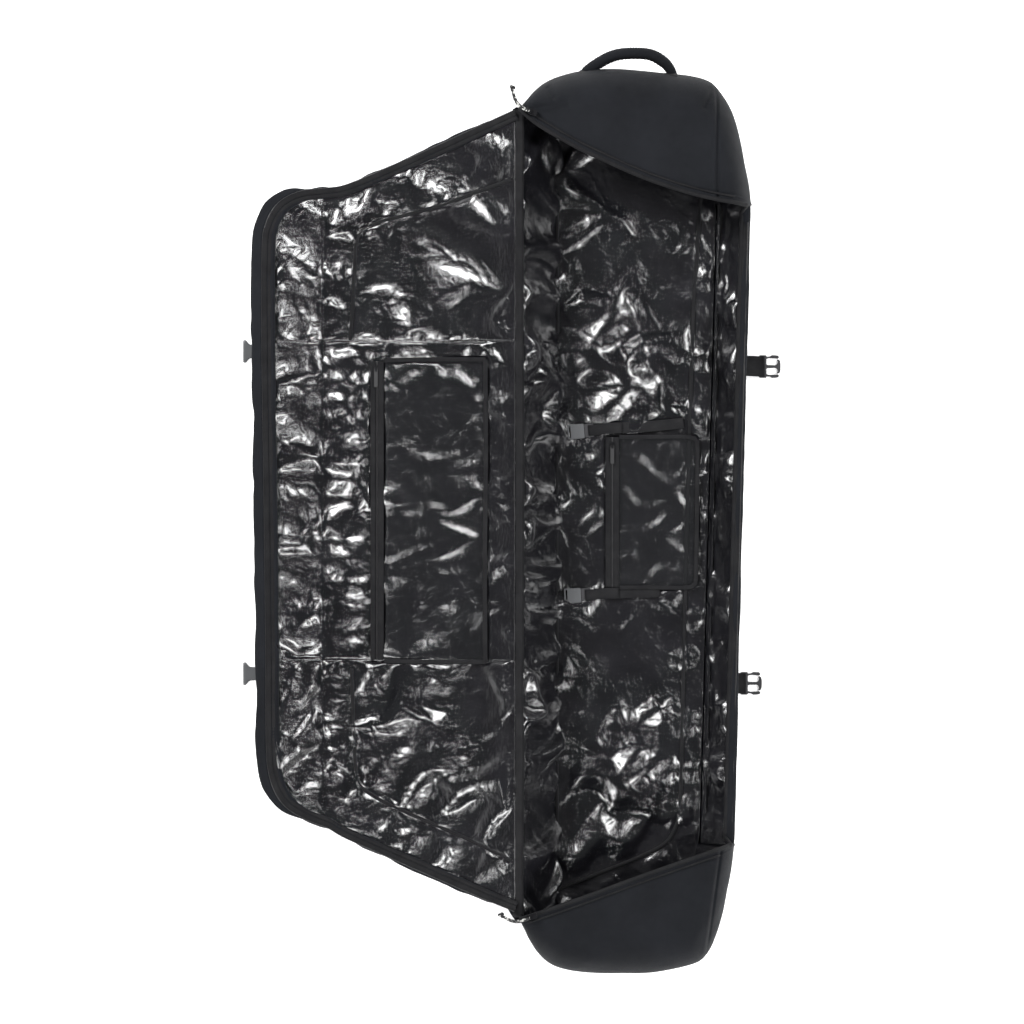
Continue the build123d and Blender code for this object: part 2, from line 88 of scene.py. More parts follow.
# ---- materials: node helpers --------------------------------------------------------
class Mat:
    """A material with a principled shader and short calls for its nodes."""

    def __init__(self, name, color, rough, **sockets):
        self.m = bpy.data.materials.new(name)
        self.m.use_nodes = True
        self.nt = self.m.node_tree
        self.bsdf = self.nt.nodes["Principled BSDF"]
        self.bsdf.inputs["Base Color"].default_value = (*color, 1)
        self.bsdf.inputs["Roughness"].default_value = rough
        for key, value in sockets.items():
            self.bsdf.inputs[key.replace("_", " ")].default_value = value
        self.coords = self.node("ShaderNodeTexCoord").outputs["Object"]

    def node(self, kind, **props):
        n = self.nt.nodes.new(kind)
        for key, value in props.items():
            setattr(n, key, value)
        return n

    def link(self, a, b):
        self.nt.links.new(a, b)

    def mapped(self, scale):
        n = self.node("ShaderNodeMapping")
        n.inputs["Scale"].default_value = scale
        self.link(self.coords, n.inputs["Vector"])
        return n.outputs["Vector"]

    def noise(self, scale, detail=3.0, vector=None, distortion=0.0):
        n = self.node("ShaderNodeTexNoise")
        n.inputs["Scale"].default_value = scale
        n.inputs["Detail"].default_value = detail
        n.inputs["Distortion"].default_value = distortion
        self.link(vector or self.coords, n.inputs["Vector"])
        return n.outputs["Fac"]

    def wave(self, scale, direction, distortion=0.0):
        n = self.node("ShaderNodeTexWave", wave_type="BANDS", bands_direction=direction)
        n.inputs["Scale"].default_value = scale
        n.inputs["Distortion"].default_value = distortion
        self.link(self.coords, n.inputs["Vector"])
        return n.outputs["Fac"]

    def math(self, op, a, b=None):
        n = self.node("ShaderNodeMath", operation=op)
        for i, v in enumerate((a, b)):
            if v is None:
                continue
            if isinstance(v, (int, float)):
                n.inputs[i].default_value = v
            else:
                self.link(v, n.inputs[i])
        return n.outputs[0]

    def ramp(self, source, stops):
        n = self.node("ShaderNodeValToRGB")
        elements = n.color_ramp.elements
        while len(elements) < len(stops):
            elements.new(0.5)
        for e, (pos, col) in zip(elements, stops):
            e.position = pos
            e.color = (*col, 1)
        self.link(source, n.inputs["Fac"])
        return n.outputs["Color"]

    def color(self, source):
        self.link(source, self.bsdf.inputs["Base Color"])

    def rough(self, source, low, high):
        n = self.node("ShaderNodeMapRange")
        n.inputs["To Min"].default_value = low
        n.inputs["To Max"].default_value = high
        self.link(source, n.inputs["Value"])
        self.link(n.outputs["Result"], self.bsdf.inputs["Roughness"])

    def bump(self, height, strength, distance, after=None):
        n = self.node("ShaderNodeBump")
        n.inputs["Strength"].default_value = strength
        n.inputs["Distance"].default_value = distance
        self.link(height, n.inputs["Height"])
        if after is not None:
            self.link(after, n.inputs["Normal"])
        self.link(n.outputs["Normal"], self.bsdf.inputs["Normal"])
        return n.outputs["Normal"]


def shell_fabric():
    """Charcoal coated polyester: a fine plain weave, matte, a little mottled."""
    m = Mat("shell_fabric", (0.006, 0.0067, 0.0085), 0.78, Specular_IOR_Level=0.14, Sheen_Weight=0.02,
            Sheen_Roughness=0.5)
    m.color(m.ramp(m.noise(9.0, 5.0), [(0.3, (0.0040, 0.0047, 0.0064)), (0.75, (0.0078, 0.0088, 0.0115))]))
    weave = m.math("MULTIPLY", m.wave(420.0, "X", 0.6), m.wave(420.0, "Y", 0.6))
    m.rough(m.noise(60.0, 3.0), 0.70, 0.86)
    first = m.bump(weave, 0.5, 0.0006)
    m.bump(m.noise(38.0, 4.0), 0.18, 0.004, first)
    return m.m


def lining_film():
    """Black coated film over a fine weave: glossy, with small creases between the folds."""
    m = Mat("lining_film", (0.006, 0.006, 0.007), 0.2, Specular_IOR_Level=0.64, Coat_Weight=0.42,
            Coat_Roughness=0.12)
    m.rough(m.noise(22.0, 4.0), 0.10, 0.26)
    m.color(m.ramp(m.noise(14.0, 3.0), [(0.3, (0.004, 0.004, 0.005)), (0.8, (0.010, 0.010, 0.012))]))
    crease = m.noise(46.0, 6.0, distortion=1.4)
    sharp = m.math("ABSOLUTE", m.math("SUBTRACT", crease, 0.5))
    first = m.bump(sharp, 0.30, 0.004)
    grain = m.bump(m.noise(190.0, 3.0, m.mapped((1.0, 0.45, 1.0))), 0.42, 0.0016, first)
    ripstop = m.math("MAXIMUM", m.wave(330.0, "X"), m.wave(330.0, "Y"))
    m.bump(ripstop, 0.15, 0.0005, grain)
    return m.m


def tape_fabric(name="binding_tape", scale=520.0):
    """Matte black woven tape."""
    m = Mat(name, (0.008, 0.008, 0.009), 0.8, Specular_IOR_Level=0.2)
    rib = m.wave(scale, "DIAGONAL", 0.3)
    m.rough(m.noise(90.0, 2.0), 0.7, 0.9)
    m.color(m.ramp(m.noise(30.0, 3.0), [(0.3, (0.005, 0.005, 0.006)), (0.8, (0.012, 0.012, 0.013))]))
    m.bump(rib, 0.5, 0.0006)
    return m.m


def mesh_fabric():
    """Fine black mesh that lets the film under it show through."""
    m = Mat("pocket_mesh", (0.011, 0.012, 0.014), 0.6, Specular_IOR_Level=0.25, Alpha=0.17)
    m.m.surface_render_method = "BLENDED"
    knit = m.math("MULTIPLY", m.wave(300.0, "X", 0.8), m.wave(300.0, "Y", 0.8))
    m.bump(knit, 0.6, 0.0008)
    m.rough(m.noise(70.0, 2.0), 0.5, 0.7)
    return m.m


def plastic(name="buckle_plastic", color=(0.035, 0.035, 0.038), rough=0.42):
    m = Mat(name, color, rough, Specular_IOR_Level=0.5)
    m.rough(m.noise(120.0, 3.0), rough - 0.08, rough + 0.1)
    m.bump(m.noise(700.0, 2.0), 0.12, 0.0004)
    return m.m


def lacquer():
    m = Mat("slider_lacquer", (0.015, 0.015, 0.017), 0.3, Metallic=0.6)
    m.rough(m.noise(160.0, 3.0), 0.22, 0.42)
    m.bump(m.noise(500.0, 2.0), 0.1, 0.0003)
    return m.m


def flecked_cord():
    """Black braided cord with light flecks."""
    m = Mat("flecked_cord", (0.02, 0.02, 0.02), 0.75)
    v = m.node("ShaderNodeTexVoronoi")
    v.inputs["Scale"].default_value = 330.0
    m.link(m.coords, v.inputs["Vector"])
    m.color(m.ramp(v.outputs["Color"], [(0.68, (0.008, 0.008, 0.009)), (0.73, (0.46, 0.46, 0.44))]))
    m.bump(v.outputs["Distance"], 0.6, 0.0008)
    return m.m


MATS = {
    "shell": shell_fabric(),
    "film": lining_film(),
    "tape": tape_fabric(),
    "zip": tape_fabric("zip_fabric", 700.0),
    "web": tape_fabric("webbing", 360.0),
    "mesh": mesh_fabric(),
    "plastic": plastic(),
    "coil": plastic("zip_coil", (0.012, 0.012, 0.013), 0.35),
    "pale": plastic("pale_plastic", (0.085, 0.088, 0.092), 0.38),
    "rubber": plastic("pull_rubber", (0.014, 0.014, 0.015), 0.55),
    "lacquer": lacquer(),
    "cord": flecked_cord(),
}


# ---- mesh helpers -------------------------------------------------------------------
def add_mesh(name, verts, faces, mat):
    """verts in drawing-frame millimetres."""
    data = bpy.data.meshes.new(name)
    scaled = np.asarray(verts, float) / 1000 + SHIFT
    data.from_pydata([tuple(v) for v in scaled], [], faces)
    data.materials.append(MATS[mat])
    data.polygons.foreach_set("use_smooth", [True] * len(data.polygons))
    data.update()
    obj = bpy.data.objects.new(name, data)
    bpy.context.collection.objects.link(obj)
    return obj


def place(piece, body, *nodes):
    """Let a piece ride on a body and stand for CAD nodes; returns the piece."""
    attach(piece, body)
    if nodes:
        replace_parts(piece, *nodes)
    return piece


def grid_index(n, m):
    """The point numbers of an n by m grid, and the four of each of its faces."""
    idx = np.arange(n * m).reshape(n, m)
    return idx, np.stack([idx[:-1, :-1], idx[1:, :-1], idx[1:, 1:], idx[:-1, 1:]], -1).reshape(-1, 4)


def grid_normals(p):
    """Unit normals of a grid of points, (n, m, 3)."""
    du = np.gradient(p, axis=0)
    dv = np.gradient(p, axis=1)
    n = np.cross(du, dv)
    return n / np.maximum(np.linalg.norm(n, axis=2, keepdims=True), 1e-9)


def looks(p, row, column, axis):
    """Whether a grid's normal at one point looks to the positive side of an axis."""
    return bool(grid_normals(p)[row, column, axis] > 0)


def cloth(name, p, thick, mat, flip=False):
    """A closed sheet of cloth: the grid's face, its back thick millimetres away, and its rim."""
    n = grid_normals(p)
    if flip:
        n = -n
    back = p - n * thick
    a, b = p.shape[:2]
    verts = np.concatenate([p.reshape(-1, 3), back.reshape(-1, 3)])
    idx, quads = grid_index(a, b)
    if flip:
        quads = quads[:, ::-1]
    under = quads[:, ::-1] + a * b
    ring = np.concatenate([idx[0, :-1], idx[:-1, -1], idx[-1, :0:-1], idx[:0:-1, 0]])
    nxt = np.roll(ring, -1)
    side = np.stack([ring, nxt, nxt + a * b, ring + a * b], -1)
    if flip:
        side = side[:, ::-1]
    faces = np.concatenate([quads, under, side[:, ::-1]]).tolist()
    return add_mesh(name, verts, faces, mat)


def tube(name, path, radii, mat, sides=10, flat=1.0):
    """A closed tube along points; radii is one number or one per point; flat squashes it in height."""
    path = np.asarray(path, float)
    count = len(path)
    radii = np.broadcast_to(np.asarray(radii, float), (count,))
    run = np.gradient(path, axis=0)
    run /= np.maximum(np.linalg.norm(run, axis=1, keepdims=True), 1e-9)
    up = np.array([0.0, 0.0, 1.0])
    side = np.cross(run, up)
    weak = np.linalg.norm(side, axis=1) < 1e-3
    side[weak] = np.array([1.0, 0.0, 0.0])
    side /= np.linalg.norm(side, axis=1, keepdims=True)
    top = np.cross(side, run)
    angle = np.linspace(0, 2 * math.pi, sides, endpoint=False)
    ring = side[:, None] * np.cos(angle)[:, None] + top[:, None] * (np.sin(angle) * flat)[:, None]
    verts = (path[:, None] + ring * radii[:, None, None]).reshape(-1, 3)
    verts = np.concatenate([verts, path[:1], path[-1:]])
    faces = []
    for i in range(count - 1):
        for k in range(sides):
            j = (k + 1) % sides
            faces.append((i * sides + k, i * sides + j, (i + 1) * sides + j, (i + 1) * sides + k))
    low, high, last = count * sides, count * sides + 1, (count - 1) * sides
    for k in range(sides):
        j = (k + 1) % sides
        faces.append((low, j, k))
        faces.append((high, last + k, last + j))
    return add_mesh(name, verts, faces, mat)


def smooth_path(points, step=4.0):
    """A Catmull-Rom line through points, about one point each step millimetres."""
    p = np.asarray(points, float)
    ends = [2 * p[0] - p[1], *p, 2 * p[-1] - p[-2]]
    out = []
    for a, b, c, d in zip(ends, ends[1:], ends[2:], ends[3:]):
        n = max(2, int(np.linalg.norm(c - b) / step))
        t = np.linspace(0, 1, n, endpoint=False)[:, None]
        square, cube = 2 * a - 5 * b + 4 * c - d, 3 * b - a - 3 * c + d
        out.append(0.5 * (2 * b + (c - a) * t + square * t**2 + cube * t**3))
    return np.concatenate([*out, p[-1:]])


# ---- noise --------------------------------------------------------------------------
def lattice(u, v, cell, seed):
    """Smooth noise from -1 to 1 on a random lattice of the given cell size."""
    rng = np.random.default_rng(seed)
    table = rng.uniform(-1, 1, (64, 64))
    x, y = u / cell, v / cell
    i, j = np.floor(x).astype(int), np.floor(y).astype(int)
    fx, fy = x - i, y - j
    fx, fy = fx**3 * (fx * (6 * fx - 15) + 10), fy**3 * (fy * (6 * fy - 15) + 10)
    i, j, i1, j1 = i % 64, j % 64, (i + 1) % 64, (j + 1) % 64
    low = table[i, j] * (1 - fx) + table[i1, j] * fx
    high = table[i, j1] * (1 - fx) + table[i1, j1] * fx
    return low * (1 - fy) + high * fy


def smoothstep(t):
    t = np.clip(t, 0, 1)
    return t * t * (3 - 2 * t)


def turned(u, v, degrees, stretch=1.0):
    """Coordinates turned by an angle, the second stretched so that folds run along it."""
    a = math.radians(degrees)
    return u * math.cos(a) + v * math.sin(a), (v * math.cos(a) - u * math.sin(a)) / stretch


def creases(u, v, cell, seed, angle=0.0, stretch=1.0, warp=0.5):
    """Sharp-crested folds, from 0 to 1: high along the lines where a noise crosses zero."""
    s, t = turned(u, v, angle, stretch)
    s = s + warp * cell * lattice(s, t, cell * 1.7, seed + 11)
    t = t + warp * cell * lattice(s, t, cell * 1.7, seed + 12)
    return 1 - np.minimum(1.0, np.abs(lattice(s, t, cell, seed)) * 2.2)


# ---- film that is a little larger than its frame, buckled by cloth simulation --------
FILM_STEP = 5.6  # the simulation's grid, in millimetres
FILM_FRAMES = 26
FILM_MOVE = 22  # the most that a point may move, in millimetres
FILM_THICK = 0.7


def finer(a):
    """A grid with a point added between each two, on a smooth curve."""
    for axis in (0, 1):
        a = np.moveaxis(a, axis, 0)
        ends = np.concatenate([2 * a[:1] - a[1:2], a, 2 * a[-1:] - a[-2:-1]])
        mid = (9 * (ends[1:-2] + ends[2:-1]) - ends[:-3] - ends[3:]) / 16
        out = np.empty((2 * len(a) - 1, *a.shape[1:]))
        out[::2] = a
        out[1::2] = mid
        a = np.moveaxis(out, 0, axis)
    return a


def relax(a, times):
    """Average each inner point with its neighbours."""
    for _ in range(times):
        b = a.copy()
        beside = a[:-2, 1:-1] + a[2:, 1:-1] + a[1:-1, :-2] + a[1:-1, 2:]
        b[1:-1, 1:-1] = 0.5 * a[1:-1, 1:-1] + 0.125 * beside
        a = b
    return a


def buckle(x, y, held, grow, seed, bend=30.0):
    """Grow a flat film whose held points stay put; returns its points, x, y and height."""
    rng = np.random.default_rng(seed)
    z = np.zeros(x.shape)
    for _ in range(6):
        s = turned(x, y, rng.uniform(0, 180))[0]
        z += 2.4 * np.sin(s / rng.uniform(9, 32) + rng.uniform(0, 6))
    z += 3.0 * lattice(x, y, 90, seed)
    z[held] = 0
    flat = np.stack([x, y, z], -1)
    n, m = x.shape
    data = bpy.data.meshes.new("film")
    data.from_pydata([tuple(v) for v in flat.reshape(-1, 3) / 1000], [], grid_index(n, m)[1].tolist())
    obj = bpy.data.objects.new("film", data)
    bpy.context.collection.objects.link(obj)
    group = obj.vertex_groups.new(name="held")
    group.add([int(i) for i in np.nonzero(held.reshape(-1))[0]], 1.0, "REPLACE")
    cloth_mod = obj.modifiers.new("cloth", "CLOTH")
    c = cloth_mod.settings
    c.quality = 6
    c.mass = 0.2
    c.tension_stiffness = c.compression_stiffness = 80
    c.shear_stiffness = 40
    c.bending_stiffness = bend
    c.tension_damping = c.compression_damping = c.shear_damping = 10
    c.air_damping = 2.0
    c.vertex_group_mass = "held"
    c.shrink_min = -grow
    c.effector_weights.gravity = 0
    cloth_mod.collision_settings.use_collision = False
    cloth_mod.point_cache.frame_end = FILM_FRAMES
    for frame_number in range(1, FILM_FRAMES + 1):
        bpy.context.scene.frame_set(frame_number)
    shaped = obj.evaluated_get(bpy.context.evaluated_depsgraph_get())
    co = np.empty(n * m * 3)
    shaped.to_mesh().vertices.foreach_get("co", co)
    shaped.to_mesh_clear()
    bpy.data.objects.remove(obj)
    bpy.context.scene.frame_set(1)
    co = co.reshape(n, m, 3) * 1000
    return relax(flat + np.clip(co - flat, -FILM_MOVE, FILM_MOVE), 2)


def film_height(w, up=0.8, down=0.3):
    """The film lies on something, so it can stand up more than it can sink."""
    return np.where(w > 0, up * w, down * w)


def small_creases(u, v, seed):
    """The fine creases between the film's folds, in millimetres."""
    high = 0.9 * creases(u, v, 24, seed, 30, 2.2, 0.8) ** 1.5
    return high + 0.5 * creases(u, v, 13, seed + 1, 90, 1.6, 0.6) + 0.25 * lattice(u, v, 9, seed + 2)


# ---- where things are, in drawing-frame millimetres ---------------------------------
LID_CENTRE = (-466.2, 819.6)  # of the arc that the lid's lining face follows
LID_RADIUS = 814.0
SEAM = (-364.0, 12.0)  # where the lid's face meets its side wall: X and Z
LIP = (-462.0, 42.0)  # the side wall's free edge
TUB_LOW, TUB_HIGH = 72.0, 164.0  # the right wall's top and the caps' top


def lid_z(x):
    """Height of the lid's lining face, and of its side wall past the seam."""
    x = np.asarray(x, float)
    face = LID_CENTRE[1] - np.sqrt(LID_RADIUS**2 - (np.clip(x, SEAM[0], 0) - LID_CENTRE[0]) ** 2)
    wall = SEAM[1] + (SEAM[0] - x) * (LIP[1] - SEAM[1]) / (SEAM[0] - LIP[0])
    return np.where(x > SEAM[0], face, wall)


def lid_outline():
    """The line of the lid's edge band in plan, from the top of the hinge round to its foot."""
    top = [(-4, 727), (-60, 703), (-170, 655), (-262, 616), (-322, 593), (-365, 587), (-405, 581)]
    side = [(-438, 562), (-457, 528), (-463, 480), (-463, 300), (-459, 0), (-456, -250), (-455, -430)]
    foot = [(-448, -492), (-428, -532), (-392, -557), (-350, -574), (-318, -592), (-240, -626)]
    return [*top, *side, *foot, (-150, -664), (-60, -701), (-4, -722)]


RIM = smooth_path([(x, y, 0) for x, y in lid_outline()], 3.5)[:, :2]


def rim_range(x, inset):
    """The lowest and highest Y of the lid's lining at each X, inset from the edge band's line."""
    top = RIM[: int(np.argmin(RIM[:, 0]))]
    foot = RIM[int(np.argmin(RIM[:, 0])) :]
    high = np.interp(-x, -top[:, 0], top[:, 1]) - inset
    low = np.interp(x, foot[:, 0], foot[:, 1]) + inset
    return low, high


def seam_hold(d, reach=9.0):
    """0 on a sewn line, 1 away from it."""
    return 1 - np.exp(-((d / reach) ** 2))


def line_distance(x, y, points):
    """Distance in plan from each grid point to a run of straight legs."""
    best = np.full(x.shape, 1e9)
    for (ax, ay), (bx, by) in zip(points, points[1:]):
        ex, ey = bx - ax, by - ay
        t = np.clip(((x - ax) * ex + (y - ay) * ey) / (ex * ex + ey * ey), 0, 1)
        best = np.minimum(best, np.hypot(x - ax - t * ex, y - ay - t * ey))
    return best


def held_points(x, y, *lines):
    """Which points of a film stay put: its border, and those on sewn lines."""
    held = np.zeros(x.shape, bool)
    held[0] = held[-1] = held[:, 0] = held[:, -1] = True
    for line in lines:
        held |= line_distance(x, y, line) < FILM_STEP * 0.55
    return held


def sweep(name, path, side, top, profile, mat):
    """A closed solid along a path; profile is a loop of across, up pairs, one for all or one a point."""
    path = np.asarray(path, float)
    profile = np.asarray(profile, float)
    if profile.ndim == 2:
        profile = np.broadcast_to(profile, (len(path), *profile.shape))
    verts = path[:, None] + side[:, None] * profile[:, :, :1] + top[:, None] * profile[:, :, 1:]
    n, k = verts.shape[:2]
    idx = np.arange(n * k).reshape(n, k)
    nxt = np.roll(idx, -1, axis=1)
    faces = np.stack([idx[:-1], nxt[:-1], nxt[1:], idx[1:]], -1).reshape(-1, 4).tolist()
    faces.append(idx[0, ::-1].tolist())
    faces.append(idx[-1].tolist())
    return add_mesh(name, verts.reshape(-1, 3), faces, mat)


def frame_along(path, up):
    """Unit side and top vectors along a path, top as near up as it can be."""
    run = np.gradient(path, axis=0)
    run /= np.maximum(np.linalg.norm(run, axis=1, keepdims=True), 1e-9)
    side = np.cross(run, np.broadcast_to(np.asarray(up, float), run.shape))
    side /= np.maximum(np.linalg.norm(side, axis=1, keepdims=True), 1e-9)
    return side, np.cross(side, run)


def ribbon(name, path, width, thick, mat, up=(0, 0, 1)):
    """A tape or strap along a path, with rounded edges."""
    side, top = frame_along(path, up)
    w, t = width / 2, thick / 2
    loop = [(-w, -0.3 * t), (-w + 0.6 * t, -t), (w - 0.6 * t, -t), (w, -0.3 * t)]
    loop += [(w, 0.3 * t), (w - 0.6 * t, t), (-w + 0.6 * t, t), (-w, 0.3 * t)]
    return sweep(name, path, side, top, loop, mat)


def piped(name, points, width, mat, height=2.4, step=3.5):
    """A bound, sewn seam: a low soft ridge with a stitch dip every few millimetres."""
    path = smooth_path(points, step)
    side, top = frame_along(path, (0, 0, 1))
    a = np.linspace(0, math.pi, 7)
    arch = np.stack([-np.cos(a) * width / 2, np.sin(a) * height], -1)
    loop = np.concatenate([arch, [(width / 2, -0.8), (-width / 2, -0.8)]])
    dip = 1 - 0.16 * (np.arange(len(path)) % 2)
    profile = np.repeat(loop[None], len(path), 0)
    profile[:, :7, 1] *= dip[:, None]
    return sweep(name, path, side, top, profile, mat)


def coil_line(name, points, radius):
    """The teeth of a coil zip: a thin rod with close beads."""
    path = smooth_path(points, 1.3)
    beads = radius * (1 - 0.35 * (np.arange(len(path)) % 2))
    return tube(name, path, beads, "coil", sides=6, flat=0.7)


def across_lid(obj):
    """Fabric over the seam between the lid and its side wall."""
    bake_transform(obj)
    return obj


# ---- the lid ------------------------------------------------------------------------
LID_PIPING_TOP = [(-14, 612), (-80, 589), (-146, 566), (-220, 547), (-270, 534), (-292, 520), (-302, 494)]
LID_PIPING_TOP += [(-304, 460), (-307, 392), (-313, 318)]
LID_PIPING_FOOT = [(-310, -290), (-306, -400), (-303, -465), (-294, -505), (-265, -529), (-215, -553)]
LID_PIPING_FOOT += [(-165, -574), (-80, -610), (-14, -640)]
LID_SEAMS_Y = (316.0, -274.0)
ROWS_OUT = 5  # a point on the grid or rim that is clear of its corners
LID_POCKET_EDGE = [(-62, -276), (-62, 281), (-272, 281), (-272, -276), (-62, -276)]


def lid_film(name, y_low, y_high, seed):
    """One panel of the lid's lining, between two Y lines (None: as far as the edge band)."""
    xs = np.linspace(-7, -456, int(450 / FILM_STEP))
    low, high = rim_range(xs, 3.0)
    if y_low is not None:
        low = np.full_like(xs, y_low)
    if y_high is not None:
        high = np.full_like(xs, y_high)
    rows = int(np.max(high - low) / FILM_STEP)
    v = np.linspace(0, 1, rows)
    x = np.repeat(xs[:, None], rows, 1)
    y = low[:, None] + (high - low)[:, None] * v[None]
    held = held_points(x, y, LID_PIPING_TOP, LID_PIPING_FOOT, LID_POCKET_EDGE)
    held |= np.abs(x - SEAM[0]) < FILM_STEP * 0.55
    q = finer(buckle(x, y, held, 0.045, seed))
    x, y, w = q[..., 0], q[..., 1], q[..., 2]
    inside = (x < -58) & (x > -274) & (np.abs(y - 2) < 280)
    lift = np.where(inside, np.clip(film_height(w, 0.5, 0.3), -3, 5.5), film_height(w))
    row = np.arange(q.shape[0])[:, None]
    d_edge = np.minimum(row, row[::-1]) * FILM_STEP / 2
    sewn = seam_hold(line_distance(x, y, LID_PIPING_TOP), 8) * seam_hold(d_edge, 6)
    lift = lift + small_creases(x, y, seed + 3) * sewn
    by_hinge = smoothstep((-x - 12) / 46)
    p = np.stack([x, y, lid_z(x) + 1.2 + np.clip(lift, -4 * by_hinge, 1 + 19 * by_hinge)], -1)
    return across_lid(cloth(name, p, FILM_THICK, "film", flip=not looks(p, ROWS_OUT, ROWS_OUT, 2)))


def rim_path():
    return np.column_stack([RIM, lid_z(RIM[:, 0])])


def rim_side(path):
    """Unit vectors across the rim, pointing out of the lid."""
    side = frame_along(path, (0, 0, 1))[0]
    inwards = np.sum((path[ROWS_OUT] - path.mean(axis=0)) * side[ROWS_OUT]) < 0
    return -side if inwards else side


def lid_roll():
    """The lid's outer fabric where it turns up round the edge band, all round the lid."""
    path = rim_path()
    along = np.concatenate([[0], np.cumsum(np.linalg.norm(np.diff(path, axis=0), axis=1))])
    flat = rim_side(path) * np.array([1.0, 1.0, 0.0])
    flat /= np.linalg.norm(flat, axis=1, keepdims=True)
    up = np.broadcast_to(np.array([0.0, 0.0, 1.0]), flat.shape)
    left = np.clip((-path[:, 0] - 395) / 50, 0, 1)
    ends = np.minimum(along, along[-1] - along)
    bulge = 17 + 15 * left - 7 * np.clip(1 - np.abs(-path[:, 0] - 322) / 40, 0, 1)
    bulge = bulge * (0.35 + 0.65 * np.clip(ends / 60, 0, 1))
    bulge = bulge + 2.2 * lattice(along, along * 0, 70, 5) + 1.2 * lattice(along, along * 0, 26, 6)
    a = np.radians(np.linspace(112, -100, 15))
    outer = np.stack([np.cos(a), np.sin(a)], -1)
    thick = np.where(outer[:, 1] > 0, 6.0, 13.0)
    loops = np.zeros((len(path), 30, 2))
    for i in range(len(path)):
        wide = max(bulge[i], 4.0)
        o = np.stack([outer[:, 0] * wide, outer[:, 1] * thick], -1)
        o[:, 1] += 0.8 * lattice(along[i] + 0 * o[:, 0], np.arange(15) * 6.0, 22, 9)
        inner = np.stack([outer[::-1, 0] * (wide - 3.5) - 0.5, outer[::-1, 1] * (thick[::-1] - 2.5)], -1)
        loops[i] = np.concatenate([o, inner])
    low = np.maximum(path[:, 2] - 13.5, 0.6) - (path[:, 2] - 13.5)
    loops[:, :, 1] += low[:, None] * np.clip(-loops[:, :, 1] / 13, 0, 1)
    return across_lid(sweep("lid_rolled_edge", path, flat, up, loops, "shell"))


def lid_under():
    """The lid's outer fabric under its foam, from near the hinge to under the lip."""
    xs = np.linspace(-30, -458, 110)
    low, high = rim_range(xs, 2.0)
    v = np.linspace(0, 1, 300)
    x = np.repeat(xs[:, None], 300, 1)
    y = low[:, None] + (high - low)[:, None] * v[None]
    z = lid_z(x) - 10.5 - 2.0 * (0.5 + 0.5 * lattice(x, y, 90, 31)) - 0.8 * lattice(x, y, 30, 32)
    p = np.stack([x, y, np.maximum(z, 1.2)], -1)
    return across_lid(cloth("lid_outer", p, 2.2, "shell", flip=looks(p, ROWS_OUT, ROWS_OUT, 2)))


def make_lid():
    """The lid's lining, outer fabric, bound edge, zip, piping and seams."""
    top = lid_film("lid_film_top", LID_SEAMS_Y[0], None, 41)
    middle = lid_film("lid_film_middle", LID_SEAMS_Y[1], LID_SEAMS_Y[0], 57)
    lid_film("lid_film_foot", None, LID_SEAMS_Y[1], 73)
    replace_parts(top, "lid_lining")
    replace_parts(middle, "lid_side_lining")
    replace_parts(lid_roll(), "lid_side_shell")
    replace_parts(lid_under(), "lid_shell", "lid_foam")
    # the bound edge of the lining and the zip beside it
    path = rim_path()[::2]
    side = rim_side(path)
    edge = across_lid(piped("lid_edge_binding", path - side + np.array([0, 0, 4.0]), 9, "tape", 3.0))
    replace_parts(edge, "lid_zip_edge")
    beside = smooth_path(path + side * 8.0 + np.array([0, 0, 6.8]), 6)
    tape = across_lid(ribbon("lid_zip_tape", beside, 10, 1.4, "zip"))
    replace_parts(tape, "lid_side_zip_tape")
    across_lid(coil_line("lid_zip_coil", path + side * 12.5 + np.array([0, 0, 6.4]), 1.5))
    for end, points, nodes in (("top", LID_PIPING_TOP, ["lid_piping"]), ("foot", LID_PIPING_FOOT, [])):
        line = [(x, y, float(lid_z(x)) + 1.5) for x, y in points]
        place(piped(f"lid_piping_{end}", line, 7, "tape", 3.0), "lid", *nodes)
    for i, y in enumerate(LID_SEAMS_Y):
        xs = np.linspace(-12, -452, 40)
        line = [(x, y + 3 * math.sin(x / 70), float(lid_z(x)) + 0.8) for x in xs]
        across_lid(piped(f"lid_cross_seam_{i + 1}", line, 4.5, "film", 2.2, 3.0))
    line = [(SEAM[0], y, SEAM[1] + 1.0) for y in np.linspace(-566, 578, 60)]
    across_lid(piped("lid_side_seam", line, 4.5, "film", 2.2, 3.0))


# ---- the tub ------------------------------------------------------------------------
LEVELS = (0, 35, 72, 120, 150, 164)
LEFT_AT = (51, 36.5, 21.3, 1.4, -8, 4)
IN_RIGHT = (64, 30, 0, 24, 48, 76)
IN_END = (52, 20, 0, 8, 28, 56)
TOP_END = [(0, 742), (12, 756), (28, 775), (46, 791), (66, 802), (90, 810), (118, 816), (150, 819)]
TOP_END += [(200, 818), (270, 811), (318, 805), (345, 798), (362, 788), (378, 768), (392, 744)]
TOP_END += [(402, 716), (410, 682), (418, 640), (425, 600), (429, 563)]
FOOT_END = [(0, -749), (8, -766), (20, -790), (34, -813), (52, -831), (76, -843), (110, -850), (150, -853)]
FOOT_END += [(200, -853), (245, -851), (290, -843), (318, -836), (336, -828), (350, -812), (362, -786)]
FOOT_END += [(373, -752), (382, -716), (391, -664), (398, -610)]
TOP_MOUTH = [(0, 742), (30, 716), (74, 689), (110, 669), (148, 651), (196, 629), (240, 611), (290, 594)]
TOP_MOUTH += [(333, 582), (370, 574), (400, 569), (429, 563)]
FOOT_MOUTH = [(0, -749), (50, -733), (110, -712), (170, -690), (230, -668), (290, -647), (345, -628)]
FOOT_MOUTH += [(398, -610)]
HALF_LENGTH = 749.0  # of the tub, along the hinge
OUT = 1.5  # how far a cap's cloth may stand out over the right side


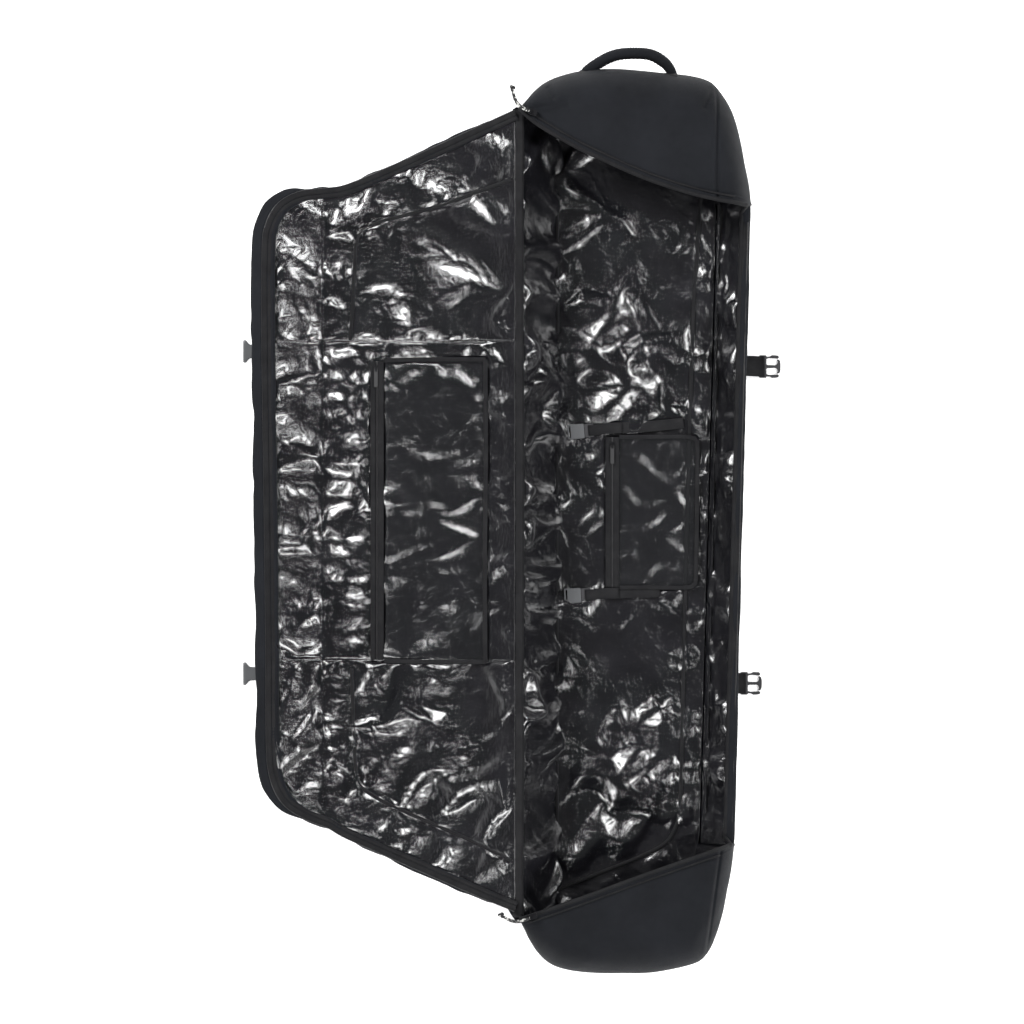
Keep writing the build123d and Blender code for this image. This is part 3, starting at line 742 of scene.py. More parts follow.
def even(points, count):
    """count points at equal lengths along a smooth line."""
    p = smooth_path([(x, y, 0) for x, y in points], 2.0)[:, :2]
    s = np.concatenate([[0], np.cumsum(np.linalg.norm(np.diff(p, axis=0), axis=1))])
    t = np.linspace(0, 1, count) * s[-1]
    return np.column_stack([np.interp(t, s, p[:, 0]), np.interp(t, s, p[:, 1])])


def end_inset(z):
    """How far the tub's ends lean in at height z; above the low wall they stand straight."""
    return np.interp(np.minimum(z, TUB_LOW), LEVELS, IN_END)


def ring_at(plan, z):
    """The tub's outline points moved to their place at height z."""
    x, y = plan[..., 0], plan[..., 1]
    left = smoothstep(1 - x / 130)
    right = smoothstep((x - 250) / 130)
    end = smoothstep((np.abs(y) - 600) / 150)
    dx = left * (np.interp(z, LEVELS, LEFT_AT) + 2) * smoothstep((148 - z) / 40)
    dx = dx - right * np.interp(z, LEVELS, IN_RIGHT)
    return np.stack([x + dx, y - np.sign(y) * end * end_inset(z)], -1)


def cap_surface(plan, mouth, crown, columns=190, side_rows=34, top_rows=76):
    """The outside of a cap: up its side from the floor, over the shoulder, and on to the mouth."""
    o = even(plan, columns)
    m = even(mouth, columns)
    s = np.linspace(0, 1, columns)
    left = smoothstep(1 - s / 0.16)
    turn = TUB_LOW + (146 - TUB_LOW) * left  # height at which the wall stops growing outwards
    right = smoothstep((s - 0.9) / 0.1)
    rows = []
    for k in range(side_rows):
        f = k / side_rows
        z = 0.8 + (turn - 0.8) * f
        ring = np.stack([ring_at(o[i : i + 1], z[i])[0] for i in range(columns)])
        rows.append(np.column_stack([ring, z]))
    span = m - o
    length = np.maximum(np.linalg.norm(span, axis=1), 1e-3)
    reach = 74 - 44 * left
    for k in range(top_rows + 1):
        g = (k / top_rows) ** 1.25
        d = np.clip(length * g / reach, 0, 1)
        z = turn + (TUB_HIGH - 4 - turn) * (1 - (1 - d) ** 2.3) ** 0.5
        dome = np.sin(math.pi * s) ** 0.7 * np.sin(math.pi * min(g * 0.92 + 0.04, 1)) ** 0.9
        z = z + crown * dome - 6.0 * right * (g > 0)
        rows.append(np.column_stack([o + span * g, z]))
    return np.stack(rows)


def groove(p, points, width, depth):
    """Press a line into a cap's top, or raise one where depth is below 0."""
    d = line_distance(p[..., 0], p[..., 1], points)
    p[..., 2] -= depth * np.exp(-((d / width) ** 2)) * (p[..., 2] > 60)


def hold_inside(obj, past):
    """Keep a piece's points from standing out over the tub's right side."""
    for v in obj.data.vertices:
        v.co.x = min(v.co.x, at(right_edge((v.co.y - SHIFT_Y) * 1000) + past, 0, 0)[0])


def cap_normals(p):
    """A cap's normals, pointing out, and whether they were turned."""
    n = grid_normals(p)
    down = bool(n[p.shape[0] // 2 + 20, 95, 2] < 0)
    return (-n if down else n), down


def cap_piece(name, plan, mouth, crown, seed, seam, folds):
    """The outside of a cap, with its seam, soft folds and the dips beside its mouth."""
    p = cap_surface(plan, mouth, crown)[:, 1:-1]
    n = cap_normals(p)[0]
    x, y, z = p[..., 0], p[..., 1], p[..., 2]
    soft = 1.6 * lattice(x + 0.6 * z, y, 120, seed) + 0.7 * lattice(x, y + z, 45, seed + 1)
    edge = np.minimum(1, np.arange(p.shape[0])[::-1][:, None] / 8)
    p = p + n * (soft * edge)[..., None]
    groove(p, seam, 2.6, 4.0)
    groove(p, [(x - 6, y) for x, y in seam], 4.0, -1.2)
    for points, width, depth in folds:
        groove(p, points, width, depth)
    for off, wide, deep in ((7.5, 1.8, 1.8), (14.0, 2.0, 1.4)):
        d = np.abs(line_distance(p[..., 0], p[..., 1], mouth) - off)
        p[..., 2] -= deep * np.exp(-((d / wide) ** 2)) * (p[..., 2] > 70)
    obj = cloth(name, p, 2.4, "shell", flip=cap_normals(p)[1])
    hold_inside(obj, OUT)
    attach(obj, "base")
    return obj, p


def cap_lining(name, p, seed):
    """The film inside a cap: the outside's surface moved in by the wall's thickness."""
    q = p[::2, ::2] - cap_normals(p)[0][::2, ::2] * 9.0
    x, y = q[..., 0], q[..., 1]
    q[..., 2] += 1.6 * lattice(x, y, 34, seed) + 1.0 * lattice(x, y, 15, seed + 1)
    q[..., 2] = np.maximum(q[..., 2], 6.0)
    obj = cloth(name, q, FILM_THICK, "film", flip=looks(q, -8, 40, 2))
    hold_inside(obj, -2 * OUT)
    return place(obj, "base")


def left_wall_film():
    """The lining of the wall under the hinge, from the hinge tape down to the floor."""
    deep = 142.0
    us = np.linspace(0, deep, int(deep / FILM_STEP))
    ys = np.linspace(-746, 739, int(1485 / FILM_STEP))
    u, y = np.meshgrid(us, ys, indexing="ij")
    q = finer(buckle(u, y, held_points(u, y), 0.09, 91, 15.0))
    u, y, w = q[..., 0], q[..., 1], q[..., 2]
    t = np.clip(u / deep, 0, 1)
    z = 140 - 128 * t
    out = np.clip(film_height(w, 1.7, 0.5), -5, 31) + small_creases(u, y, 95) * np.sin(math.pi * t)
    x = np.interp(z, LEVELS, LEFT_AT) + 12.5 - 6 * (1 - smoothstep(t * 6)) + 14 * smoothstep(t) ** 1.5
    y = y * (1 - end_inset(z) / HALF_LENGTH)
    p = np.stack([x + out * 0.92, y, z + out * 0.38], -1)
    obj = cloth("left_wall_film", p, FILM_THICK, "film", flip=not looks(p, 20, 200, 0))
    place(obj, "base", "left_wall_lining")


FLOOR_PIPING = [(338, 585), (334, 540), (329, 450), (324, 385), (318, 200), (312, 0), (305, -300)]
FLOOR_PIPING += [(301, -470), (298, -545), (288, -590), (268, -617), (230, -637), (187, -655)]
FLOOR_PIPING += [(110, -685), (70, -702)]
BASE_POCKET_EDGE = [(160, -140), (160, 139), (330, 139), (330, -140), (160, -140)]


def floor_film():
    """The lining of the tub's floor."""
    ys, left, right = tub_span(12.0, 11.0, int(1590 / FILM_STEP))
    v = np.linspace(0, 1, int(300 / FILM_STEP))
    y = np.repeat(ys[:, None], len(v), 1)
    x = left[:, None] + (right - left)[:, None] * v[None]
    held = held_points(x, y, FLOOR_PIPING, BASE_POCKET_EDGE)
    q = finer(buckle(x, y, held, 0.04, 120, 50.0))
    x, y, w = q[..., 0], q[..., 1], q[..., 2]
    inside = (x > 160) & (x < 331) & (np.abs(y) < 142)
    lift = np.where(inside, np.clip(0.6 * w, -2.0, 3.6), film_height(w, 0.8, 0.22))
    sewn = seam_hold(line_distance(x, y, FLOOR_PIPING), 8) * np.where(inside, 0.6, 1)
    lift = lift + small_creases(x, y, 125) * sewn
    p = np.stack([x, y, 12.4 + np.clip(lift, -3.5, 18)], -1)
    obj = cloth("floor_film", p, FILM_THICK, "film", flip=not looks(p, ROWS_OUT, ROWS_OUT, 2))
    place(obj, "base", "floor_lining")


def right_edge(y):
    """X of the right wall's top at each Y."""
    return np.interp(y, (-610, 563), (398, 429))


def right_wall_film():
    """The lining of the low right wall."""
    deep = 86.0
    us = np.linspace(0, deep, int(deep / FILM_STEP))
    ys = np.linspace(-640, 600, int(1240 / FILM_STEP))
    u, y = np.meshgrid(us, ys, indexing="ij")
    held = held_points(u, y) | (np.abs(u - 24) < FILM_STEP * 0.5)
    q = finer(buckle(u, y, held, 0.08, 141))
    u, y, w = q[..., 0], q[..., 1], q[..., 2]
    t = np.clip(u / deep, 0, 1)
    z = 11 + (TUB_LOW - 11) * t
    x = right_edge(y) - 12 - np.interp(z, LEVELS, IN_RIGHT) * 0.92
    out = np.clip(film_height(w, 1.2, 0.4), -3, 17) + small_creases(u, y, 145) * np.sin(math.pi * t)
    p = np.stack([x - out * 0.75, y, z + out * 0.6], -1)
    obj = cloth("right_wall_film", p, FILM_THICK, "film", flip=not looks(p, 20, 200, 2))
    place(obj, "base", "right_wall_lining")


def right_wall_outer():
    """Fabric up the outside of the low right wall, then over its top to the binding."""
    ys = np.linspace(-617, 570, 300)
    edge = right_edge(ys)
    rows = [level(edge - np.interp(z, LEVELS, IN_RIGHT), ys, z) for z in np.linspace(0.8, TUB_LOW, 26)]
    for a in np.radians(np.linspace(15, 150, 10)):
        rows.append(level(edge - 9 + 9 * math.cos(a), ys, TUB_LOW + 6 * math.sin(a)))
    p = np.stack(rows)
    n = grid_normals(p) * (1 if looks(p, ROWS_OUT, 100, 0) else -1)
    soft = 1.3 * lattice(p[..., 2], p[..., 1], 80, 151) + 0.5 * lattice(p[..., 2], p[..., 1], 26, 152)
    p = p + n * soft[..., None]
    obj = cloth("right_wall_outer", p, 2.4, "shell", flip=not looks(p, ROWS_OUT, 100, 0))
    place(obj, "base", "right_wall_shell", "wall_foam")


def level(x, ys, z):
    """A line of points along the bag: X one for all or one each, at one height."""
    return np.column_stack([np.broadcast_to(x, ys.shape), ys, np.full_like(ys, z)])


def tub_span(z, inset, count):
    """Y values along the tub, and its lowest and highest X at each, at height z, drawn in by inset."""
    ends = [ring_at(even(plan, 160), np.full(160, z)) for plan in (TOP_END, FOOT_END)]
    ys = np.linspace(ends[1][:, 1].min() + inset + 3, ends[0][:, 1].max() - inset - 3, count)
    side = np.interp(z, LEVELS, LEFT_AT)
    left, right = np.full(count, side), right_edge(ys) - np.interp(z, LEVELS, IN_RIGHT)
    for ring in ends:
        tip = int(np.argmax(np.abs(ring[:, 1])))
        sign = np.sign(ring[tip, 1])
        past = ys * sign + inset
        near, far = ring[: tip + 1], ring[: tip - 1 : -1]
        left = np.maximum(left, np.interp(past, near[:, 1] * sign, near[:, 0], left=side))
        right = np.where(past > far[0, 1] * sign, np.interp(past, far[:, 1] * sign, far[:, 0]), right)
    return ys, left + inset * 0.6, np.maximum(right - inset, left + inset)


def floor_outer():
    """The tub's underside, as wide at each Y as the foot of its sides."""
    ys, left, right = tub_span(0.8, 0.0, 240)
    v = np.linspace(0, 1, 50)
    y = np.repeat(ys[:, None], 50, 1)
    x = left[:, None] + (right - left)[:, None] * v[None]
    z = np.maximum(1.6 + 0.9 * lattice(x, y, 90, 161), 0.7)
    p = np.stack([x, y, z], -1)
    obj = cloth("floor_outer", p, -2.2, "shell", flip=looks(p, ROWS_OUT, ROWS_OUT, 2))
    place(obj, "base", "floor_shell", "floor_foam")


def left_outer():
    """Outer fabric from the floor up the wall and over the hinge line to the lid's underside."""
    ys = np.linspace(-752, 745, 340)
    line = [(51, 0.8), (36.5, 35), (21.3, 72), (10, 100), (1.4, 120), (-4, 134), (-8, 138), (-13, 136)]
    line += [(-20, 130), (-30, 122)]
    path = smooth_path([(x, 0, z) for x, z in line], 5.0)
    p = np.zeros((len(path), len(ys), 3))
    p[..., 0] = path[:, 0:1]
    drawn_in = end_inset(path[:, 2:3]) + np.clip(-1.7 * path[:, 0:1] - 12, 0, 40)
    p[..., 1] = ys[None] * (1 - drawn_in / HALF_LENGTH)
    p[..., 2] = path[:, 2:3]
    n = grid_normals(p) * (-1 if looks(p, ROWS_OUT, 100, 0) else 1)
    soft = 1.5 * lattice(p[..., 2], p[..., 1], 90, 171) + 0.6 * lattice(p[..., 2], p[..., 1], 30, 172)
    fade = smoothstep((140 - p[..., 2]) / 30)
    p = p + n * (soft * fade)[..., None]
    obj = cloth("hinge_outer", p, 2.2, "shell", flip=looks(p, ROWS_OUT, 100, 0))
    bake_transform(obj)
    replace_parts(obj, "left_wall_shell")


def hinge_tape():
    """The binding along the hinge, with its stitches."""
    ys = np.linspace(-746, 742, 370)
    prof = [(9, 139), (8.5, 144), (6, 147.6), (0, 149), (-6, 148), (-10, 145.5), (-12, 143.2)]
    path = smooth_path([(x, 0, z) for x, z in prof], 2.0)
    p = np.zeros((len(path), len(ys), 3))
    p[..., 0] = path[:, 0:1] + 1.2 * lattice(ys, ys * 0, 110, 181)[None]
    p[..., 1] = ys[None]
    p[..., 2] = path[:, 2:3] + 0.35 * (np.arange(len(ys)) % 2)[None] * np.exp(-((path[:, 0:1] - 5) ** 2) / 2)
    obj = cloth("hinge_tape", p, 1.4, "tape", flip=not looks(p, len(path) // 2, 100, 2))
    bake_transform(obj)
    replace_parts(obj, "hinge_binding")


def make_caps():
    """Both caps with their linings; returns their surfaces."""
    seam_top = [(360, 800), (364, 770), (365, 700), (365, 580)]
    seam_foot = [(343, -832), (350, -780), (358, -720), (366, -660), (371, -625)]
    folds_top = [([(357, 776), (342, 744)], 6, 7.0)]
    folds_top += [([(32, 741), (58, 744), (82, 752)], 8, 7.0), ([(53, 780), (62, 762)], 5, 5.0)]
    folds_foot = [([(70, -770), (120, -800)], 22, 3.0), ([(280, -700), (330, -730)], 24, 3.0)]
    surfaces = []
    for name, node, plan, mouth, crown, seed, seam, folds in (
        ("top_cap", "top_cap", TOP_END, TOP_MOUTH, 9.0, 201, seam_top, folds_top),
        ("foot_cap", "bottom_cap", FOOT_END, FOOT_MOUTH, 7.0, 221, seam_foot, folds_foot),
    ):
        cap, p = cap_piece(name, plan, mouth, crown, seed, seam, folds)
        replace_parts(cap, f"{node}_panel", f"{node}_side_panel")
        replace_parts(cap_lining(f"{name}_film", p, seed + 10), f"{node}_lining")
        surfaces.append(p)
    return surfaces


def make_tub():
    """The caps, walls and floor, then the binding, zip, piping and seams on them."""
    p, q = make_caps()
    right_wall_film()
    right_wall_outer()
    left_wall_film()
    floor_film()
    floor_outer()
    left_outer()
    hinge_tape()
    # binding round the tub's mouth, and the zip beside it
    ys = np.linspace(555, -602, 120)
    wall = level(right_edge(ys) - 17, ys, TUB_LOW + 2.0)
    down = np.array([0, 0, -1.0])
    ring = np.concatenate([p[-1, :-3:2] + down, wall, q[-1, -4::-2] + down])
    edge = piped_tube("mouth_edge", ring, 4.2)
    hold_inside(edge, OUT)
    place(edge, "base", "mouth_binding")
    tape = ribbon("base_zip_tape_band", wall[2:-2] + np.array([7.5, 0, 2.4]), 11, 1.2, "zip")
    place(tape, "base", "base_zip_tape")
    place(coil_line("base_zip_coil", wall[2:-2:3] + np.array([11.5, 0, 3.2]), 1.5), "base")
    for name, surface, mouth in (("top_mouth_welt", p, TOP_MOUTH), ("foot_mouth_welt", q, FOOT_MOUTH)):
        rows = beside_mouth(surface, mouth, 10.5)
        rows[:, 2] += 0.8
        place(piped_tube(name, rows[6:-12:2], 1.9), "base")
    line = [(x, y, 12.5) for x, y in FLOOR_PIPING]
    place(piped("floor_piping_line", line, 7, "tape", 3.4), "base", "floor_piping")
    foot = [(70, 660, 14), (72, 400, 14), (70, 0, 14), (71, -400, 14), (70, -680, 14)]
    place(piped("left_wall_seam", foot, 6, "tape", 2.6), "base")
    seam = [(372, 590, 24), (366, 380, 24), (360, 0, 24), (350, -400, 24), (345, -560, 24)]
    place(piped("right_wall_seam", seam, 4.5, "film", 2.2, 3.0), "base")


def beside_mouth(p, mouth, off):
    """The line on a cap's surface that runs a constant distance from its mouth."""
    d = line_distance(p[..., 0], p[..., 1], mouth)
    found = []
    for k in range(p.shape[1]):
        past = np.nonzero(d[::-1, k] >= off)[0]
        if not len(past):
            continue
        i = p.shape[0] - 1 - past[0]
        if i + 1 >= p.shape[0] or p[i, k, 2] < 60:
            continue
        t = (off - d[i + 1, k]) / max(d[i, k] - d[i + 1, k], 1e-6)
        found.append(p[i + 1, k] * (1 - t) + p[i, k] * t)
    return np.array(found)


def piped_tube(name, points, radius):
    """Round piping, with the slight wave that its stitches give it."""
    path = smooth_path(points, 4.0)
    wave = radius * (1 - 0.07 * (np.arange(len(path)) % 2))
    return tube(name, path, wave, "tape", sides=10)


# ---- pockets ------------------------------------------------------------------------

def net(name, x_low, x_high, y_low, y_high, height, seed):
    """A pocket's mesh panel."""
    rows, cols = int((x_high - x_low) / 4), int((y_high - y_low) / 4)
    x = np.linspace(x_low, x_high, rows)[:, None] * np.ones((1, cols))
    y = np.ones((rows, 1)) * np.linspace(y_low, y_high, cols)[None]
    d = np.minimum(np.minimum(x - x_low, x_high - x), np.minimum(y - y_low, y_high - y))
    wave = 2.4 * creases(x, y, 90, seed, 80, 2.0, 0.8) + 1.2 * creases(x, y, 40, seed + 1, 20, 1.5, 0.6)
    wave += 1.5 * lattice(x, y, 60, seed + 2)
    p = np.stack([x, y, height(x) + wave * np.clip(d / 20, 0, 1)], -1)
    return cloth(name, p, 0.6, "mesh", flip=not looks(p, ROWS_OUT, ROWS_OUT, 2))


def over_lid(x):
    """Height of the lid pocket's net."""
    return lid_z(x) + 7.5


def over_floor(x):
    """Height of the floor pocket's net."""
    return 18.0 + 0 * x


def pocket_zip(pocket, body, ys, tapes, wide, coil):
    """A pocket's zip: two tapes and the coil between them, each at an X and a height."""
    for letter, (x, z), nodes in zip("ab", tapes, ([f"{pocket}_zip_tape"], [])):
        tape = ribbon(f"{pocket}_tape_{letter}", level(x, ys, z), wide, 1.2, "zip")
        place(tape, body, *nodes)
    place(coil_line(f"{pocket}_coil", level(coil[0], ys, coil[1]), 1.9), body)


def make_pockets():
    """Net, hems and zip of the lid's pocket and of the floor's."""
    mesh = net("lid_pocket_net", -247, -62, -276, 281, over_lid, 301)
    place(mesh, "lid", "lid_pocket_mesh")
    for end, points, nodes in (
        ("side", [(-62, 281), (-61, 100), (-63, -100), (-62, -276)], ["lid_pocket_binding"]),
        ("top", [(-250, 281), (-150, 282), (-62, 281)], []),
        ("foot", [(-250, -276), (-150, -277), (-62, -276)], []),
    ):
        path = smooth_path([(x, y, float(over_lid(x)) + 0.6) for x, y in points], 6)
        place(ribbon(f"lid_pocket_hem_{end}", path, 8, 1.4, "tape"), "lid", *nodes)
    tapes = [(x, float(over_lid(x)) + 0.5) for x in (-269.5, -256)]
    coil = (-263.0, float(over_lid(-263)) + 0.9)
    pocket_zip("lid_pocket", "lid", np.linspace(279, -274, 90), tapes, 11, coil)
    mesh = net("base_pocket_net", 186, 330, -140, 139, over_floor, 311)
    place(mesh, "base", "base_pocket_mesh")
    line = [(186, 139), (250, 139.5), (316, 139), (328, 132), (331, 118), (330, 0), (328, -118)]
    line += [(324, -134), (310, -140), (250, -140), (186, -140)]
    path = smooth_path([(x, y, 18.6) for x, y in line], 5)
    place(ribbon("base_pocket_hem", path, 8, 1.4, "tape"), "base", "base_pocket_binding")
    tapes = [(x, 18.0) for x in (166.2, 180)]
    pocket_zip("base_pocket", "base", np.linspace(139, -140, 60), tapes, 11.5, (173.0, 17.8))


# ---- straps, buckles and handle -----------------------------------------------------
def strap_frame(back, heading):
    """A function from places along, across and above a strap to the drawing frame."""
    a = math.radians(heading)
    c, d = math.cos(a), math.sin(a)
    return lambda u, v, z: (back[0] + u * c - v * d, back[1] + u * d + v * c, z)


def strap_web(name, points, step, width, thick):
    return ribbon(name, smooth_path(points, step), width, thick, "web")


def make_straps():
    """Webbing inside the tub, on its side, and on the lid."""
    for name, back, heading, far, nodes in (
        ("upper", (90, 148), 4.5, 216, ["strap_webbing"]),
        ("lower", (84, -156), 3.0, 178, []),
    ):
        go = strap_frame(back, heading)
        stub = [go(-26, 0, 13), go(-14, 0, 14.5), go(-4, 0, 16), go(3, 0, 16.2)]
        place(strap_web(f"{name}_stub", stub, 4, 20, 1.8), "base", *nodes)
        run = [go(42, 0, 16), go(70, 1, 17), go(110, 0, 16.4), go(160, -1, 17), go(far, 0, 14.5)]
        place(strap_web(f"{name}_run", run, 4, 20, 1.7), "base")
        tail = [go(38.6, 0, 19.6), go(50, 0, 20.4), go(72, 1.5, 21), go(90, 1, 20.4), go(101, 0.5, 19.6)]
        place(strap_web(f"{name}_tail", tail, 4, 20, 1.7), f"{name}_inner_male", f"{name}_strap_tail")
    for name in ("upper", "lower"):
        lo, hi = plan_box(f"{name}_male_webbing")
        mid, between = (lo[1] + hi[1]) / 2, (lo + hi) / 2
        path = [(lo[0] + 1, mid, hi[2] - 2), (lo[0] + 8, mid, hi[2] - 8)]
        path += [(between[0], mid + 1, between[2] - 1), (hi[0] - 8, mid, lo[2] + 2.2), (hi[0] - 1, mid, lo[2] + 1.4)]
        web = strap_web(f"{name}_side_web", path, 3, hi[1] - lo[1], 1.9)
        place(web, f"{name}_male", f"{name}_male_webbing")
    for name, y, nodes in (("upper", 298, ["female_tabs"]), ("lower", -300, [])):
        path = [(-434, y, 13), (-452, y, 11), (-466, y, 9), (-478, y, 7.5)]
        place(strap_web(f"{name}_lid_web", path, 3, 38, 1.9), "lid_side", *nodes)


def plan_box(node):
    """A CAD node's lowest and highest corners, in drawing-frame millimetres."""
    return [(np.array(corner) - SHIFT) * 1000 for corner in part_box(node)]


def band(n, low, high):
    """The faces between two rings of n points, from the first ring's and second ring's point numbers."""
    return [[low + i, low + (i + 1) % n, high + (i + 1) % n, high + i] for i in range(n)]


def plate(outline, low, high, bevel=0.7):
    """Points and faces of a flat moulding with bevelled edges, outline counter-clockwise in plan."""
    p = np.asarray(outline, float)
    run = np.roll(p, -1, axis=0) - np.roll(p, 1, axis=0)
    run /= np.linalg.norm(run, axis=1, keepdims=True)
    inset = p - np.column_stack([run[:, 1], -run[:, 0]]) * bevel
    n = len(p)
    rings = [(inset, low), (p, low + bevel), (p, high - bevel), (inset, high)]
    verts = [(x, y, z) for ring, z in rings for x, y in ring]
    faces = [list(range(n))[::-1], list(range(3 * n, 4 * n))]
    for k in range(3):
        faces += band(n, k * n, (k + 1) * n)
    return verts, faces


def moulding(name, plates, mat):
    """One piece made of several plates."""
    verts, faces = [], []
    for outline, low, high in plates:
        v, f = plate(outline, low, high)
        faces += [[i + len(verts) for i in face] for face in f]
        verts += v
    obj = add_mesh(name, verts, faces, mat)
    obj.data.polygons.foreach_set("use_smooth", [False] * len(obj.data.polygons))
    return obj


def mirrored(outline):
    """The outline on the other side of the middle line, in reverse order."""
    return [(u, -v) for u, v in outline[::-1]]


def male_buckle(name):
    """Frame and rail, two sprung arms with thick pads, and a guide with a cross bar."""
    low, high = plan_box(f"{name}_male_buckle")
    x, y, z = low[0], (low[1] + high[1]) / 2, low[2]
    arm = [(13, 13.6), (20, 15.6), (25, 15.2), (36.5, 14.6), (38.6, 17.2), (36.5, 20.4), (25, 21.2)]
    arm += [(21, 18.9), (13, 18.2)]
    guide = [(13, -5), (17, -2.9), (31, -2.6), (34, -4.2), (35.6, -9), (33.8, -11.6), (36, -13.6)]
    guide += [(39.8, -11.4), (41, -6)]
    body = [(0, -18), (1.5, -20.5), (4, -21), (13.5, -21), (15, -19.5)]
    rail = [(10.6, -19), (13.4, -19), (13.4, 19), (10.6, 19)]
    guide, body = guide + mirrored(guide), body + mirrored(body)
    plates = [(arm, 0.4, 4.6), (mirrored(arm), 0.4, 4.6), (guide, 0.9, 4.1), (body, 0, 5), (rail, 4, 6)]
    moved = [([(x + u, y + v) for u, v in outline], z + a, z + b) for outline, a, b in plates]
    place(moulding(f"{name}_male_clip", moved, "plastic"), f"{name}_male", f"{name}_male_buckle")


def female_buckle(name):
    """A socket, wide at its mouth and waisted where the arms' pads are pressed."""
    low, high = plan_box(f"{name}_female_buckle")
    y, z, tall = (low[1] + high[1]) / 2, (low[2] + high[2]) / 2, (high[2] - low[2]) / 2
    far, half = low[0], (high[1] - low[1]) / 2
    cuts = [(33, 11.8, 0.7), (32, 12.4, 0.9), (20, 12.6, 1), (13.5, 13.0, 1), (11, 14.2, 1), (8.6, 16.8, 1)]
    cuts += [(6.2, 20.0, 1), (5, half, 1), (1, half, 1), (0, half - 0.8, 0.92), (0, half - 2.2, 0.74)]
    cuts += [(5, half - 3.4, 0.7), (11, 11, 0.7), (22, 9.5, 0.7)]
    n = 40
    angle = np.linspace(0, 2 * math.pi, n, endpoint=False)
    across, up = [np.sign(t) * np.abs(t) ** 0.35 for t in (np.cos(angle), np.sin(angle))]
    rings = [np.column_stack([np.full(n, far + u), y + w * across, z + tall * h * up]) for u, w, h in cuts]
    count = len(rings) * n
    faces = [list(range(n)), list(range(count - n, count))[::-1]]
    for k in range(len(rings) - 1):
        faces += [face[::-1] for face in band(n, k * n, (k + 1) * n)]
    socket = add_mesh(f"{name}_female_socket", np.concatenate(rings), faces, "pale")
    place(socket, f"{name}_female", f"{name}_female_buckle")


def make_handle():
    """A padded grab handle, wrapped and stitched underneath, on two sewn tabs."""
    line = [(119, 807, 84), (127, 816, 89), (147, 829, 92), (168, 840, 92), (192, 846, 92), (228, 846.5, 92)]
    line += [(250, 841.5, 92), (268, 830, 92), (279, 817, 89), (285, 805, 84)]
    path = smooth_path(line, 2.4)
    s = np.linspace(0, 1, len(path))
    body = 10.6 - 2.6 * np.abs(2 * s - 1) ** 6
    wrinkle = 0.35 * np.sin(s * 260) * (0.4 + 0.6 * np.abs(np.sin(s * 41)))
    grip = tube("handle_wrap", path, body + wrinkle, "shell", sides=20)
    place(grip, "handle", "handle_grip", "handle_core")
    side, top = (v[12:-12] for v in frame_along(path, (0, 0, 1)))
    middle = path[12:-12]
    inner = middle - top * 3 + side * 9.2
    if np.mean(np.abs((middle + side * 9.2)[:, 1])) > np.mean(np.abs(middle[:, 1])):
        inner = middle + top * 5.5 - side * 8.4
    seam = 1.5 * (1 + 0.5 * (np.arange(len(inner)) % 3 == 0))
    place(tube("handle_seam", inner, seam, "tape", sides=6), "handle")
    for number, x, y, nodes in ((1, 124, 0, ["handle_tabs"]), (2, 280, -5, [])):
        pad = [(x, y + 810, 62), (x, y + 815, 74), (x, y + 814.5, 88), (x, y + 812, 100), (x, y + 808, 113)]
        tab = ribbon(f"handle_tab_{number}", smooth_path(pad, 3), 24, 2.2, "web", up=(0, 1, 0.3))
        place(tab, "base", *nodes)


# ---- pull cords ---------------------------------------------------------------------
TOP_ROUTE = [(19.5, 737.0, 174.5), (9.4, 741.3, 174.5), (-1.0, 750.0, 173.0), (-8.0, 762.0, 171.5)]
TOP_ROUTE += [(-11.0, 774.0, 171.5)]
FOOT_ROUTE = [(19.7, -745.1, 174.5), (9.4, -748.8, 174.5), (-4.0, -751.0, 173.0), (-17.0, -749.0, 171.5)]
FOOT_ROUTE += [(-28.0, -743.0, 171.5)]
CORD = 3.2  # diameter


def pull_cord(name, route):
    """One smooth cord with the route's points as its control points."""
    data = bpy.data.curves.new(name, "CURVE")
    data.dimensions = "3D"
    data.bevel_depth = CORD / 2000
    data.bevel_resolution = 4
    data.use_fill_caps = True
    spline = data.splines.new("NURBS")
    spline.points.add(len(route) - 1)
    for point, co in zip(spline.points, route):
        point.co = (*at(*co), 1)
    spline.order_u = 3
    spline.use_endpoint_u = True
    spline.resolution_u = 12
    data.materials.append(MATS["cord"])
    obj = bpy.data.objects.new(name, data)
    bpy.context.collection.objects.link(obj)
    return obj


def knot(name, centre, away, size):
    """An overhand knot: cord wound over itself, with a short end."""
    t = np.linspace(0, 2 * math.pi, 90)
    c, a = np.asarray(centre, float), np.asarray(away, float)
    a = a / np.linalg.norm(a)
    b = np.array([-a[1], a[0], 0.0])
    up = np.array([0.0, 0.0, 1.0])
    x = (np.sin(t) + 2 * np.sin(2 * t)) * size
    y = (np.cos(t) - 2 * np.cos(2 * t)) * size
    z = -np.sin(3 * t) * size * 0.9
    path = c + a * x[:, None] + b * y[:, None] * 0.8 + up * z[:, None]
    return tube(name, path, CORD / 2, "cord", sides=8)


def second_strand(name, cord):
    """The cord's other half, beside it: the pull is a loop, tied at its end."""
    bare = bpy.data.objects.new("bare", cord.data.copy())
    bare.data.bevel_depth = 0
    line = bpy.data.meshes.new_from_object(bare)
    path = (np.array([v.co[:] for v in line.vertices]) - SHIFT) * 1000
    bpy.data.meshes.remove(line)
    bpy.data.objects.remove(bare)
    side = frame_along(path, (0, 0, 1))[0]
    apart = 3.3 * np.sin(np.linspace(0.12, 0.93, len(path)) * math.pi) ** 0.5
    return tube(name, path - side * apart[:, None], CORD / 2, "cord", sides=8)


